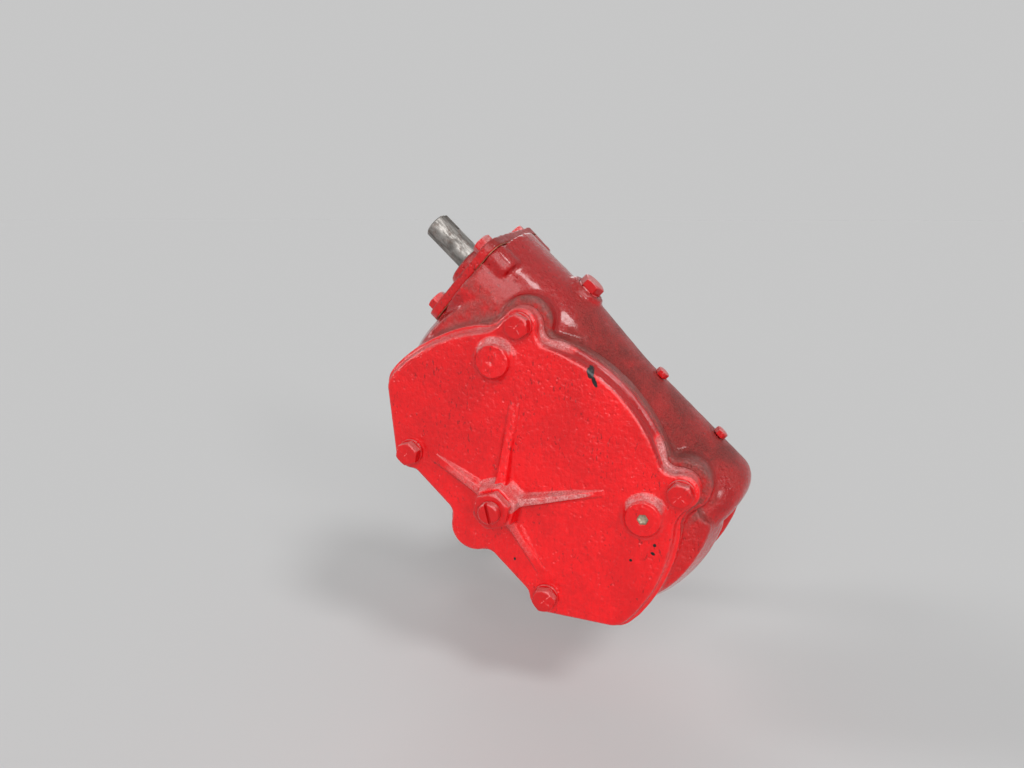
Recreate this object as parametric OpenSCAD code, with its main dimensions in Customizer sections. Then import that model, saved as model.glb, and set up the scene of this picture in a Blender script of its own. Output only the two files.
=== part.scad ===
// Manual cam-and-lever steering gearbox of a small vintage tractor.
// The steering column turns a cam along the top tube of the cast housing. The cam swings a lever
// whose shaft leaves the back of the box through a trunnion and carries the drop arm.
//
// The box is drawn upright first: X runs along the cam towards the closed end, Z from the lever
// shaft up to the cam, and Y from the face of the side cover (0) back to the mounting face.
// It is then leaned over by install_tilt, the way it sits on the tractor, and moved so that the
// origin is the centre of the mounting face on the lever shaft's axis.

/* [Placement] */
// Lean of the box about the lever shaft, as it is fitted (degrees)
install_tilt = 43.2; // [-90:0.1:90]

/* [Side cover] */
// Height of the centre of the rim's arcs over the lever shaft
rim_rise = 2.4; // [0:0.2:4]
// Radius of the rim over the top
cover_top_r = 106.5; // [104:0.5:109]
// Radius of the rim at both sides
cover_side_r = 110.5; // [108:0.5:113]
// Thickness of the cover plate
cover_t = 12; // [9:0.5:16]
// How far the drafted edge runs out from the face to the rim
edge_run = 5; // [3.5:0.5:6]
// Height of the upright lip at the foot of the drafted edge
lip_h = 3.4; // [2:0.2:4.4]
// How far inward of the rim's widest reach the upper bolts sit
upper_bolt_in = 39.5; // [37:0.5:42]
// How far under the top of the rim the upper bolts sit
upper_bolt_down = 14.5; // [12.5:0.1:16.5]
// How far inward of the rim's widest reach the lower bolts sit
lower_bolt_in = 44.5; // [43:0.5:47.5]
// Depth of the lower bolts under the lever shaft
lower_bolt_z = 23.3; // [22:0.1:25]
// Radius of the ears round the upper bolts, at the face
upper_ear_r = 11; // [10:0.5:13]
// Radius of the ears round the lower bolts, at the face
lower_ear_r = 12.2; // [11:0.1:13]
// Thickness of the gasket behind the cover
gasket_t = 0.8; // [0.5:0.1:1.5]

/* [Cover bosses and ribs] */
// Width across flats of the six-sided boss round the adjusting screw
hex_boss_af = 26; // [24:0.5:30]
// Height of that boss over the face
hex_boss_h = 12.6; // [10:0.2:16]
// How far inward of the upper bolts the two round bosses sit
plug_boss_in = 3.5; // [2:0.5:8]
// How far under the upper bolts the two round bosses sit
plug_boss_down = 28.2; // [26.4:0.1:32]
// Radius of the round bosses at their faces
plug_boss_r = 10.9; // [9.5:0.1:12]
// Height of the round bosses
plug_boss_h = 6; // [4:0.5:8]
// Length of the two long ribs, from the lever shaft's axis
long_rib_l = 69; // [55:1:72]
// Angle of the long ribs over the level (degrees)
long_rib_angle = 55; // [50:1:60]
// Height of the long ribs where they leave the boss
long_rib_h = 8; // [5:0.5:10]
// Length of the two lower ribs, from the lever shaft's axis
low_rib_l = 52; // [40:1:54]
// Angle of the lower ribs under the level (degrees)
low_rib_angle = 14.5; // [10:0.5:18]
// Height of the lower ribs where they leave the boss
low_rib_h = 6; // [4:0.5:8]
// Width of the ribs beside the boss
rib_w = 5.5; // [4:0.25:7]
// Width of the ribs at their tips
rib_tip_w = 2; // [1:0.25:3]

/* [Housing] */
// Depth from the cover's face back to the mounting face
box_depth = 104; // [98:1:116]
// Thickness of the housing's cover flange
flange_t = 12; // [9:0.5:14]
// How far the housing's flange stands out past the cover's rim
flange_step = 0.6; // [0:0.1:1.5]
// Height of the cam's axis over the lever shaft
cam_z = 82.4; // [80.4:0.2:85]
// Depth of the cam's axis behind the cover's face
cam_y = 60; // [58:0.5:63]
// Outside radius of the cam tube
tube_r = 39; // [37:0.5:41]
// Outside radius of the tube at its input end
tube_end_r = 43; // [41:0.5:44]
// Distance of the closed end from the middle plane
closed_end_x = 108; // [104:1:112]
// Radius of the tube's rounding at its closed end
closed_end_round = 16; // [10:0.5:20]
// Distance of the input end's face from the middle plane
input_end_x = 119.5; // [117:0.5:123]
// Radius of the two swelling sides
lobe_r = 95.5; // [93:0.5:98]
// Distance of the swelling sides' centres from the middle plane
lobe_x = 27; // [24:0.5:29]
// Height of the swelling sides' centres over the lever shaft
lobe_z = 40.4; // [38.4:0.2:43]
// How far the rear flange stands out past the sides
rear_flange_step = 8; // [5:0.5:10]
// Thickness of the rear flange
rear_flange_t = 8; // [6:0.5:10]

/* [Mounting] */
// Radius of the round mounting pad
pad_r = 64; // [62:0.5:70]
// How far the pad stands out past the rear flange
pad_h = 6; // [4:0.5:8]
// Diameter of the circle of the tapped mounting holes
mount_pcd = 100; // [96:1:104]
// Number of the mounting holes
mount_holes = 4; // [3:1:6]
// Radius of the mounting holes
mount_hole_r = 5.1; // [4.5:0.1:6]
// Depth of the mounting holes
mount_hole_l = 24; // [18:1:28]
// Radius of the trunnion round the lever shaft
trunnion_r = 27; // [25:0.5:30]
// Length of the trunnion behind the mounting face
trunnion_l = 54; // [45:1:65]

/* [Lever shaft and drop arm] */
// Radius of the lever shaft
lever_shaft_r = 15.9; // [14:0.1:17]
// Running clearance of both shafts, on the radius
shaft_clear = 0.05; // [0.02:0.01:0.08]
// Centre distance of the drop arm, from the shaft to the ball stud
arm_l = 130; // [115:1:145]
// Thickness of the arm's hub
arm_hub_t = 28; // [24:0.5:34]
// Radius of the arm's hub
arm_hub_r = 26; // [24:0.5:30]
// Thickness of the arm's blade and eye
arm_t = 17; // [14:0.5:20]
// Radius of the arm's eye
arm_eye_r = 18; // [16:0.5:21]
// Radius of the ball stud's hole
stud_hole_r = 8; // [7:0.1:9]
// Width across flats of the arm's nut
arm_nut_af = 36; // [33:0.5:40]
// Thickness of the arm's nut
arm_nut_t = 18; // [15:0.5:20]

/* [Input shaft and end cover] */
// Radius of the input shaft
input_shaft_r = 9.5; // [8.5:0.1:10.5]
// Radius of the shaft's journal inside the end cover and the housing
journal_r = 11; // [10.75:0.05:12.5]
// Length of the input shaft outside the end cover
input_shaft_l = 46; // [40:1:60]
// Width of the shaft's keyway
keyway_w = 4.8; // [4:0.1:6]
// Half the width of the square end cover
end_half_w = 37; // [36:0.5:39]
// Thickness of the end cover
end_cover_t = 6.5; // [5:0.25:8]
// Thickness of the pack of shims under the end cover
shim_t = 0.6; // [0.4:0.1:1]
// Turn of the end cover about the cam's axis (degrees)
end_turn = 8; // [0:1:12]
// Distance of the end cover's bolts from the cam's axis
end_bolt_d = 38; // [37:0.5:39]

/* [Fasteners] */
// Radius of the cover bolts' shanks
bolt_r = 4.76; // [4.2:0.02:5.2]
// Width across flats of the cover bolts' heads
bolt_af = 14.3; // [13:0.1:16]
// Height of the cover bolts' heads
bolt_head_h = 6.3; // [5:0.1:8]
// Length of the cover bolts' shanks under the head
bolt_l = 32; // [28:1:36]
// Thickness of the lock washers
washer_t = 2.1; // [1.5:0.1:3]
// Radius of the adjusting screw
screw_r = 7.14; // [6.5:0.02:7.8]
// How far the adjusting screw stands out of the cover's face
screw_out = 24.4; // [22:0.2:30]
// Width across flats of the adjusting screw's jam nut
jam_nut_af = 22.2; // [20:0.2:24]
// Thickness of the jam nut
jam_nut_t = 7; // [5:0.5:9]
// Width across flats of the hex socket in the level plug
socket_af = 6.35; // [5.5:0.05:8]
// Radius of the end cover's bolts
end_bolt_r = 3.97; // [3.5:0.01:4.3]
// Width across flats of the end cover's bolt heads
end_bolt_af = 12.7; // [11:0.1:14]

/* [Hidden] */
$fn = 64;

// Clearance of a threaded shank in its hole, on the radius
thread_clear = 0.04;
// Clearance of a bolt in a plain hole, on the radius
bolt_clear = 0.5;

enamel = [0.80, 0.04, 0.05];
bare_steel = [0.50, 0.48, 0.46];
dark_rubber = [0.09, 0.09, 0.09];

// Fillet radii of the cover's outline, at the face
top_fillet_r = 10;
side_fillet_r = 20;
foot_fillet_r = 8;
bulge_fillet_r = 10;
corner_r = 12;
// The bulge under the lever shaft and the level edges beside it, at the face
bulge_z = -28.6;
bulge_r = 16;
bottom_z = -30.6;
// Slope of the straight edges that run down to the lower ears
flank_angle = 41;

rim_c = [0, rim_rise];
upper_bolt = [cover_side_r - upper_bolt_in, cover_top_r + rim_rise - upper_bolt_down];
lower_bolt = [cover_side_r - lower_bolt_in, -lower_bolt_z];
plug_boss = upper_bolt - [plug_boss_in, plug_boss_down];
cover_bolts = [lower_bolt, upper_bolt, [-upper_bolt[0], upper_bolt[1]], [-lower_bolt[0], lower_bolt[1]]];

flange_y = cover_t + gasket_t;
neck_y = flange_y + flange_t;

// Points on an arc, from angle a0 to a1 in n steps
function arc(c, r, a0, a1, n) =
    [for (i = [0 : n]) let(a = a0 + (a1 - a0) * i / n) c + r * [cos(a), sin(a)]];
function angle_of(v) = atan2(v[1], v[0]);
function polar(r, a) = r * [cos(a), sin(a)];
// Angle about the rim's centre between an ear's centre and a fillet that touches a rim of radius r
function fillet_swing(r, fillet, ear, ear_r) = let(d = norm(ear - rim_c))
    acos((pow(r + fillet, 2) + pow(d, 2) - pow(ear_r + fillet, 2)) / (2 * (r + fillet) * d));

// Centres of the outline's fillets and of its lower corner
top_fillet_a = angle_of(upper_bolt - rim_c) + fillet_swing(cover_top_r, top_fillet_r, upper_bolt, upper_ear_r);
top_fillet_c = rim_c + polar(cover_top_r + top_fillet_r, top_fillet_a);
side_fillet_a = angle_of(upper_bolt - rim_c) - fillet_swing(cover_side_r, side_fillet_r, upper_bolt, upper_ear_r);
side_fillet_c = rim_c + polar(cover_side_r + side_fillet_r, side_fillet_a);
flank_out = [sin(flank_angle), -cos(flank_angle)];
flank_dir = [cos(flank_angle), sin(flank_angle)];
flank_off = (lower_bolt - rim_c) * flank_out + lower_ear_r;
corner_off = flank_off - corner_r;
corner_c = rim_c + corner_off * flank_out
           + sqrt(pow(cover_side_r - corner_r, 2) - pow(corner_off, 2)) * flank_dir;
foot_drop = bottom_z - foot_fillet_r;
foot_fillet_c = [lower_bolt[0] - sqrt(pow(lower_ear_r + foot_fillet_r, 2) - pow(foot_drop - lower_bolt[1], 2)),
                 foot_drop];
bulge_drop = bottom_z - bulge_fillet_r;
bulge_fillet_c = [sqrt(pow(bulge_r + bulge_fillet_r, 2) - pow(bulge_drop - bulge_z, 2)), bulge_drop];
bulge_c = [0, bulge_z];

// Right half of the cover's outline, let out by e, from the bulge round to the top.
// Every corner is an arc, so letting the outline out only changes the radii.
function half_outline(e) = let(
    bulge_a = angle_of(bulge_fillet_c - bulge_c),
    foot_a = angle_of(lower_bolt - foot_fillet_c),
    corner_a = angle_of(corner_c - rim_c),
    side_ear_a = angle_of(upper_bolt - side_fillet_c),
    top_ear_a = angle_of(top_fillet_c - upper_bolt))
    concat(
        arc(bulge_c, bulge_r + e, -90, bulge_a, 6),
        arc(bulge_fillet_c, bulge_fillet_r - e, bulge_a + 180, 90, 5),
        arc(foot_fillet_c, foot_fillet_r - e, 90, foot_a, 4),
        arc(lower_bolt, lower_ear_r + e, foot_a + 180, 270 + flank_angle, 8),
        arc(corner_c, corner_r + e, flank_angle - 90, corner_a, 6),
        arc(rim_c, cover_side_r + e, corner_a, side_fillet_a, 12),
        arc(side_fillet_c, side_fillet_r - e, side_fillet_a + 180, side_ear_a, 6),
        arc(upper_bolt, upper_ear_r + e, side_ear_a - 180, top_ear_a, 9),
        arc(top_fillet_c, top_fillet_r - e, top_ear_a + 180, top_fillet_a - 180 + 360, 6),
        arc(rim_c, cover_top_r + e, top_fillet_a, 90, 9));
// Whole outline: the right half and its mirror image, without the doubled end points
function outline(e) = let(h = half_outline(e), n = len(h))
    concat(h, [for (i = [n - 2 : -1 : 1]) [-h[i][0], h[i][1]]]);

// Leaned over, with the origin in the mounting face
module installed() {
    rotate([0, install_tilt, 0]) translate([0, -box_depth, 0]) children();
}
// A flat outline drawn in X and Z, from depth y0 to depth y1
module slab(y0, y1) {
    translate([0, y1, 0]) rotate([90, 0, 0]) linear_extrude(y1 - y0) children();
}
// A round bar along Y, from depth y0 to depth y1
module bar_y(r, y0, y1) {
    translate([0, y1, 0]) rotate([90, 0, 0]) cylinder(r = r, h = y1 - y0);
}
// A hexagonal bar along Y, with two flats level
module hex_y(af, y0, y1) {
    translate([0, y1, 0]) rotate([90, 0, 0]) cylinder(d = af / cos(30), h = y1 - y0, $fn = 6);
}
// A solid of revolution about Y, from [radius, depth] points
module turned_y(points) {
    rotate([90, 0, 0]) rotate_extrude() polygon([for (p = points) [p[0], -p[1]]]);
}
// A round bar along X, from x0 to x1
module bar_x(r, x0, x1) {
    translate([x0, 0, 0]) rotate([0, 90, 0]) cylinder(r = r, h = x1 - x0);
}
// A solid of revolution about X, from [radius, x] points
module turned_x(points) {
    rotate([0, 90, 0]) rotate_extrude() polygon(points);
}
// The cam's axis
module at_cam() {
    translate([0, cam_y, cam_z]) children();
}
// Both sides of the middle plane
module both_sides() {
    children();
    mirror([1, 0, 0]) children();
}

// The cover's plate, lofted through [depth, let-out] levels from the joint to the face
module cover_plate() {
    levels = [[cover_t, edge_run], [cover_t - lip_h, edge_run],
              [cover_t - lip_h - 1.2, edge_run - 0.7], [1.6, 1.0], [0.5, 0.2], [0, -0.8]];
    rings = [for (l = levels) outline(l[1])];
    n = len(rings[0]);
    last = len(levels) - 1;
    points = [for (k = [0 : last]) for (p = rings[k]) [p[0], levels[k][0], p[1]]];
    faces = concat(
        [[for (i = [0 : n - 1]) n - 1 - i]],
        [[for (i = [0 : n - 1]) last * n + i]],
        [for (k = [0 : last - 1]) for (i = [0 : n - 1]) let(j = (i + 1) % n)
            [k * n + i, k * n + j, (k + 1) * n + j, (k + 1) * n + i]]);
    polyhedron([for (p = points) p], [for (f = faces) [for (i = [len(f) - 1 : -1 : 0]) f[i]]]);
}

// A rib on the cover's face along X: its side view dies into the face at its tip, and its plan
// flares out where it meets the boss and tapers towards the tip
module rib(length, h) {
    root = hex_boss_af / 2 - 1;
    half = rib_w / 2;
    flare = [[0, 4], [2, 2.2], [4.5, 0.9], [8, 0]];
    side = concat([for (f = flare) [root + f[0], half + f[1]]], [[length, rib_tip_w / 2]]);
    intersection() {
        translate([0, 0, -hex_boss_af]) linear_extrude(2 * hex_boss_af)
            polygon([[root, rib_sink], [root, -h], [length, 0], [length, rib_sink]]);
        slab(-h - 1, rib_sink) polygon(concat(side, [for (i = [len(side) - 1 : -1 : 0]) [side[i][0], -side[i][1]]]));
    }
}

// A round boss on the cover's face with its cast foot, as a revolve
module round_boss(r, h) {
    foot = [[5.5, 0], [3.6, 0.5], [2.2, 1.5], [1.2, 2.9]];
    turned_y(concat([[0, rib_sink], [r + foot[0][0], rib_sink]],
                    [for (f = foot) [r + f[0], -min(f[1], h - 1)]],
                    [[r + 0.2, -h + 0.4], [r - 0.2, -h], [0, -h]]));
}

module side_cover() {
    hex_corner_r = hex_boss_af / 2 / cos(30);
    color(enamel) installed() difference() {
        union() {
            cover_plate();
            hex_y(hex_boss_af, -hex_boss_h, rib_sink);
            turned_y([[0, rib_sink], [hex_corner_r + 0.8, rib_sink], [hex_corner_r + 0.8, -0.3],
                      [hex_boss_af / 2, -2.4], [0, -2.4]]);
            both_sides() {
                translate([plug_boss[0], 0, plug_boss[1]]) round_boss(plug_boss_r, plug_boss_h);
                rotate([0, -long_rib_angle, 0]) rib(long_rib_l, long_rib_h);
                rotate([0, low_rib_angle, 0]) rib(low_rib_l, low_rib_h);
            }
        }
        bar_y(screw_r + thread_clear, -hex_boss_h - 1, cover_t + 1);
        for (b = cover_bolts) translate([b[0], 0, b[1]]) bar_y(bolt_r + bolt_clear, -1, cover_t + 1);
        translate([plug_boss[0], 0, plug_boss[1]])
            bar_y(plug_r + thread_clear, -plug_boss_h - 1, plug_l - plug_boss_h);
        translate([-plug_boss[0], 0, plug_boss[1]]) turned_y([[0, -plug_boss_h - 0.2], [1.6, -plug_boss_h - 0.2],
                                                            [0, -plug_boss_h + 1.2]]);
    }
}

module cover_gasket() {
    color([0.16, 0.12, 0.10]) installed() difference() {
        slab(cover_t, flange_y) polygon(outline(edge_run + flange_step / 2));
        translate([0, 0, lobe_z]) bar_y(gasket_open_r, cover_t - 1, flange_y + 1);
        for (b = cover_bolts) translate([b[0], 0, b[1]]) bar_y(bolt_r + bolt_clear, cover_t - 1, flange_y + 1);
    }
}

// The level and straight edges that trim both swelling sides from below, let out like the outline
module lower_trim(out) {
    off = flank_off + out;
    low = rim_c + off * flank_out
          + (bottom_z - rim_rise - out + off * cos(flank_angle)) / sin(flank_angle) * flank_dir;
    high = rim_c + off * flank_out + 1.5 * cover_side_r * flank_dir;
    slab(0, box_depth) polygon([[-low[0], low[1]], low, high, [high[0], high[1] + cover_side_r],
                                [-high[0], high[1] + cover_side_r], [-high[0], high[1]]]);
}

// One swelling side: a cone out from the cover flange, then a straight wall back to the rear flange
module lobe() {
    translate([lobe_x, 0, lobe_z]) turned_y([
        [0, flange_y + 4], [lobe_r - 8, flange_y + 4], [lobe_r, neck_y + 14], [lobe_r, rear_y], [0, rear_y]]);
}
// One half of the rear flange
module rear_flange() {
    rim_r = lobe_r + rear_flange_step;
    front_y = rear_y - rear_flange_t;
    translate([lobe_x, 0, lobe_z]) turned_y([
        [0, front_y - 4], [lobe_r - 1, front_y - 4], [rim_r, front_y], [rim_r, rear_y - 1], [rim_r - 1, rear_y], [0, rear_y]]);
}

module housing() {
    ear_pad_r = upper_ear_r + edge_run + 1.5;
    pad_y = box_depth;
    end_y = box_depth + trunnion_l;
    color(enamel) installed() difference() {
        union() {
            slab(flange_y, neck_y) polygon(outline(edge_run + flange_step));
            // body behind the flange, kept under the top of the tube
            intersection() {
                slab(neck_y - 1, rear_y) polygon(outline(1));
                translate([-2 * cover_side_r, 0, -cover_side_r])
                    cube([4 * cover_side_r, box_depth, cover_side_r + cam_z + tube_r - tube_shoulder]);
            }
            // ear pads behind the upper bolts
            both_sides() translate([upper_bolt[0], 0, upper_bolt[1]]) bar_y(ear_pad_r, flange_y + 2, neck_y + 10);
            // swelling sides and rear flange, cut off square at the input end
            intersection() {
                both_sides() lobe();
                lower_trim(edge_run + 2);
                translate([-input_end_x, 0, -tube_r]) cube([3 * input_end_x, box_depth, cam_z + tube_r + 5]);
            }
            intersection() {
                both_sides() rear_flange();
                lower_trim(edge_run + 2);
                translate([-input_end_x, 0, -tube_r]) cube([3 * input_end_x, box_depth, cam_z + tube_r + 20]);
            }
            // cam tube with its rounded closed end
            at_cam() turned_x([[0, -input_end_x], [tube_end_r, -input_end_x], [tube_end_r, -end_swell_x], [tube_r, 0],
                               for (p = arc([tube_r - closed_end_round, closed_end_x - closed_end_round],
                                            closed_end_round, 0, 90, 8)) p,
                               [0, closed_end_x]]);
            // bosses that take the end cover's bolts
            at_cam() for (i = [0 : 3]) rotate([end_turn + 45 + 90 * i, 0, 0])
                translate([0, 0, end_bolt_d]) bar_x(end_boss_r, -input_end_x, -input_end_x + 16);
            // filler boss on top of the tube
            translate([filler_x, cam_y, cam_z]) cylinder(r = filler_boss_r, h = filler_z - cam_z);
            // mounting pad and trunnion
            bar_y(pad_r, pad_y - mount_hole_l - pad_floor, pad_y);
            turned_y([[0, neck_y], [trunnion_r + 6, neck_y], [trunnion_r + 6, pad_y], [trunnion_r, pad_y + 6],
                      [trunnion_r, end_y - 1.5], [trunnion_r - 1.5, end_y], [0, end_y]]);
        }
        // blind bore for the lever shaft, with a seat for its seal
        bar_y(lever_shaft_r + shaft_clear, shaft_front_y - 0.5, end_y + 1);
        bar_y(seal_r, end_y - seal_t, end_y + 1);
        bar_y(screw_r + screw_pocket, flange_y - 1, shaft_front_y);
        // blind bore for the input shaft
        at_cam() bar_x(journal_r + shaft_clear, -input_end_x - 1, -input_end_x + shaft_in + 0.5);
        // tapped holes
        for (b = cover_bolts) translate([b[0], 0, b[1]])
            bar_y(bolt_r + thread_clear, flange_y - 1, bolt_l - washer_t + 2);
        at_cam() for (i = [0 : 3]) rotate([end_turn + 45 + 90 * i, 0, 0])
            translate([0, 0, end_bolt_d]) bar_x(end_bolt_r + thread_clear, -input_end_x - 1, -input_end_x + 14);
        translate([filler_x, cam_y, filler_z - 12]) cylinder(r = filler_r + thread_clear, h = 13);
        for (x = passage_x) translate([x, cam_y, cam_z]) rotate([passage_lean, 0, 0])
            translate([0, 0, tube_r - 8]) cylinder(r = passage_r + thread_clear, h = 12);
        for (i = [0 : mount_holes - 1]) rotate([0, -install_tilt + 45 + 360 / mount_holes * i, 0])
            translate([mount_pcd / 2, 0, 0]) bar_y(mount_hole_r, pad_y - mount_hole_l, pad_y + 1);
    }
}

// Sizes that two or more pieces share
rear_y = box_depth - pad_h;
rib_sink = 1;
tube_shoulder = 6;
end_swell_x = 50;
pad_floor = 4;
screw_pocket = 1;
gasket_open_r = 60;
plug_r = 6.85;
plug_l = 9;
slot_w = 2.3;
slot_depth = 3;
shaft_front_y = 30;
shaft_in = 60;
seal_r = 22;
seal_t = 7;
end_boss_r = 10;
filler_x = -62;
filler_boss_r = 13;
filler_z = cam_z + tube_end_r + 3;
filler_r = 8;
passage_x = [12.9, 67.8];
passage_lean = 0;
passage_r = 3;

// Cover bolt number i
module cover_bolt(i) {
    b = cover_bolts[i];
    chamfer = 0.8;
    color(enamel) installed() translate([b[0], 0, b[1]]) rotate([0, 17 * i + 9, 0]) {
        intersection() {
            hex_y(bolt_af, -washer_t - bolt_head_h, -washer_t);
            turned_y([[0, -washer_t], [bolt_af, -washer_t], [bolt_af, -washer_t - bolt_head_h + 3],
                      [bolt_af / 2 + 0.2, -washer_t - bolt_head_h], [0, -washer_t - bolt_head_h]]);
        }
        turned_y([[0, -washer_t - 1], [bolt_r, -washer_t - 1], [bolt_r, bolt_l - washer_t - chamfer],
                  [bolt_r - chamfer, bolt_l - washer_t], [0, bolt_l - washer_t]]);
    }
}
module cover_bolt_1() { cover_bolt(0); }
module cover_bolt_2() { cover_bolt(1); }
module cover_bolt_3() { cover_bolt(2); }
module cover_bolt_4() { cover_bolt(3); }

// Split lock washer number i
module cover_washer(i) {
    b = cover_bolts[i];
    color(enamel) installed() translate([b[0], 0, b[1]]) rotate([0, 80 * i + 25, 0]) difference() {
        bar_y(bolt_af / 2 + 1.4, -washer_t, 0);
        bar_y(bolt_r + 0.15, -washer_t - 1, 1);
        translate([bolt_r - 1, -washer_t - 1, -0.5]) cube([bolt_af, washer_t + 2, 1]);
    }
}
module cover_washer_1() { cover_washer(0); }
module cover_washer_2() { cover_washer(1); }
module cover_washer_3() { cover_washer(2); }
module cover_washer_4() { cover_washer(3); }

module adjusting_screw() {
    color(enamel) installed() difference() {
        turned_y([[0, -screw_out], [screw_r - 1.4, -screw_out], [screw_r - 0.4, -screw_out + 0.5],
                  [screw_r, -screw_out + 1.5], [screw_r, shaft_front_y - 4], [screw_r - 1, shaft_front_y - 3], [0, shaft_front_y - 3]]);
        rotate([0, 33, 0]) translate([-screw_r - 1, -screw_out - 1, -slot_w / 2])
            cube([2 * screw_r + 2, slot_depth + 1, slot_w]);
    }
}

module adjusting_nut() {
    color(enamel) installed() difference() {
        intersection() {
            hex_y(jam_nut_af, -hex_boss_h - jam_nut_t, -hex_boss_h);
            turned_y([[0, -hex_boss_h], [jam_nut_af, -hex_boss_h],
                      [jam_nut_af, -hex_boss_h - jam_nut_t + (jam_nut_af / 2 - 0.3) * tan(30)],
                      [jam_nut_af / 2 + 0.3, -hex_boss_h - jam_nut_t], [0, -hex_boss_h - jam_nut_t]]);
        }
        bar_y(screw_r + thread_clear, -hex_boss_h - jam_nut_t - 1, -hex_boss_h + 1);
    }
}

module level_plug() {
    front = -plug_boss_h;
    color(bare_steel) installed() translate([plug_boss[0], 0, plug_boss[1]]) difference() {
        turned_y([[0, front + 0.05], [plug_r - 0.3, front + 0.05], [plug_r, front + 0.35],
                  [plug_r, front + plug_l], [0, front + plug_l]]);
        rotate([0, 12, 0]) hex_y(socket_af, front - 1, front + 6);
    }
}

// Rounded square of the end cover, in the plane across the cam's axis
module end_outline() {
    r = end_boss_r;
    k = end_half_w - r;
    for (a = [0, 90]) rotate(a) square([2 * end_half_w, 2 * k], center = true);
    for (x = [-k, k]) for (y = [-k, k]) translate([x, y]) circle(r = r);
}

// A plate of that outline, from x0 to x1
module end_plate(x0, x1) {
    translate([x0, 0, 0]) rotate([end_turn, 0, 0]) rotate([0, 90, 0]) linear_extrude(x1 - x0) end_outline();
}
module end_bolt_holes(r) {
    for (i = [0 : 3]) rotate([end_turn + 45 + 90 * i, 0, 0])
        translate([0, 0, end_bolt_d]) bar_x(r, -input_end_x - 40, -input_end_x + 1);
}

module end_shims() {
    color([0.62, 0.52, 0.34]) installed() at_cam() difference() {
        end_plate(-input_end_x - shim_t, -input_end_x);
        bar_x(end_pilot_r, -input_end_x - shim_t - 1, -input_end_x + 1);
        end_bolt_holes(end_bolt_r + bolt_clear);
    }
}

end_pilot_r = 20;
end_face_x = -input_end_x - shim_t;
end_outer_x = end_face_x - end_cover_t;
end_neck_l = 9;

module end_cover() {
    tip_x = end_outer_x - end_neck_l;
    color(enamel) installed() at_cam() difference() {
        union() {
            end_plate(end_outer_x, end_face_x);
            // neck that holds the input shaft's seal
            turned_x([[0, tip_x], [seal_r - 3, tip_x], [seal_r - 2, tip_x + 1], [seal_r - 2, end_outer_x - 2],
                      [seal_r, end_outer_x], [seal_r, end_outer_x + 1], [0, end_outer_x + 1]]);
        }
        bar_x(journal_r + shaft_clear, tip_x - 1, end_face_x + 1);
        bar_x(input_seal_r, tip_x - 1, tip_x + seal_t);
        end_bolt_holes(end_bolt_r + bolt_clear);
    }
}

input_seal_r = 16;
keyway_l = 15;

// End cover bolt number i
module end_bolt(i) {
    head_h = 5.5;
    under = end_outer_x;
    color(enamel) installed() at_cam() rotate([end_turn + 45 + 90 * i, 0, 0]) translate([0, 0, end_bolt_d]) {
        translate([under - head_h, 0, 0]) rotate([0, 90, 0]) cylinder(d = end_bolt_af / cos(30), h = head_h, $fn = 6);
        bar_x(end_bolt_r, under - 1, -input_end_x + 12);
    }
}
module end_bolt_1() { end_bolt(0); }
module end_bolt_2() { end_bolt(1); }
module end_bolt_3() { end_bolt(2); }
module end_bolt_4() { end_bolt(3); }

module filler_plug() {
    color(enamel) installed() translate([filler_x, cam_y, filler_z]) {
        translate([0, 0, -10]) cylinder(r = filler_r, h = 11);
        cylinder(d = 15 / cos(30), h = 6, $fn = 6);
    }
}

module passage_plug(x) {
    color(enamel) installed() translate([x, cam_y, cam_z]) rotate([passage_lean, 0, 0])
        translate([0, 0, tube_r - 6]) {
            cylinder(r = passage_r, h = 7);
            translate([0, 0, 6]) cylinder(d = 8 / cos(30), h = 4, $fn = 6);
        }
}
module passage_plug_1() { passage_plug(passage_x[0]); }
module passage_plug_2() { passage_plug(passage_x[1]); }

module input_shaft() {
    tip = end_outer_x - input_shaft_l;
    shoulder = end_outer_x - end_neck_l - 1;
    color(bare_steel) installed() at_cam() difference() {
        turned_x([[0, tip], [input_shaft_r - 1, tip], [input_shaft_r, tip + 1],
                  [input_shaft_r, shoulder - (journal_r - input_shaft_r)], [journal_r, shoulder],
                  [journal_r, -input_end_x + shaft_in], [0, -input_end_x + shaft_in]]);
        // keyway
        translate([tip - 1, -keyway_w / 2, input_shaft_r - keyway_w / 2]) cube([keyway_l + 1, keyway_w, keyway_w]);
    }
}

module input_seal() {
    tip_x = end_outer_x - end_neck_l;
    color(dark_rubber) installed() at_cam() difference() {
        bar_x(input_seal_r - 0.02, tip_x + 0.6, tip_x + seal_t);
        bar_x(journal_r + shaft_clear + 0.05, tip_x, tip_x + seal_t + 1);
    }
}

lever_end_y = box_depth + trunnion_l;
arm_y = lever_end_y + 2.5;
arm_back_y = arm_y + arm_hub_t;
arm_seat_r = 14.8;
arm_seat_taper = 1.6;
arm_root_extra = 3;
arm_washer_t = 3.5;
thread_r = 12;
nut_y = arm_back_y + arm_washer_t;
// Radius of the tapered seat in the arm's hub, at depth y
function seat_r(y) = arm_seat_r - arm_seat_taper * (y - arm_y) / arm_hub_t;

module lever_shaft() {
    tip = nut_y + arm_nut_t + 4;
    color(bare_steel) installed() turned_y([
        [0, shaft_front_y], [lever_shaft_r - 1, shaft_front_y], [lever_shaft_r, shaft_front_y + 1],
        [lever_shaft_r, arm_y - 0.5], [seat_r(arm_y - 0.5), arm_y - 0.5], [seat_r(arm_back_y - 0.5), arm_back_y - 0.5],
        [thread_r, arm_back_y - 0.5], [thread_r, tip - 1.2], [thread_r - 1.2, tip], [0, tip]]);
}

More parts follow.
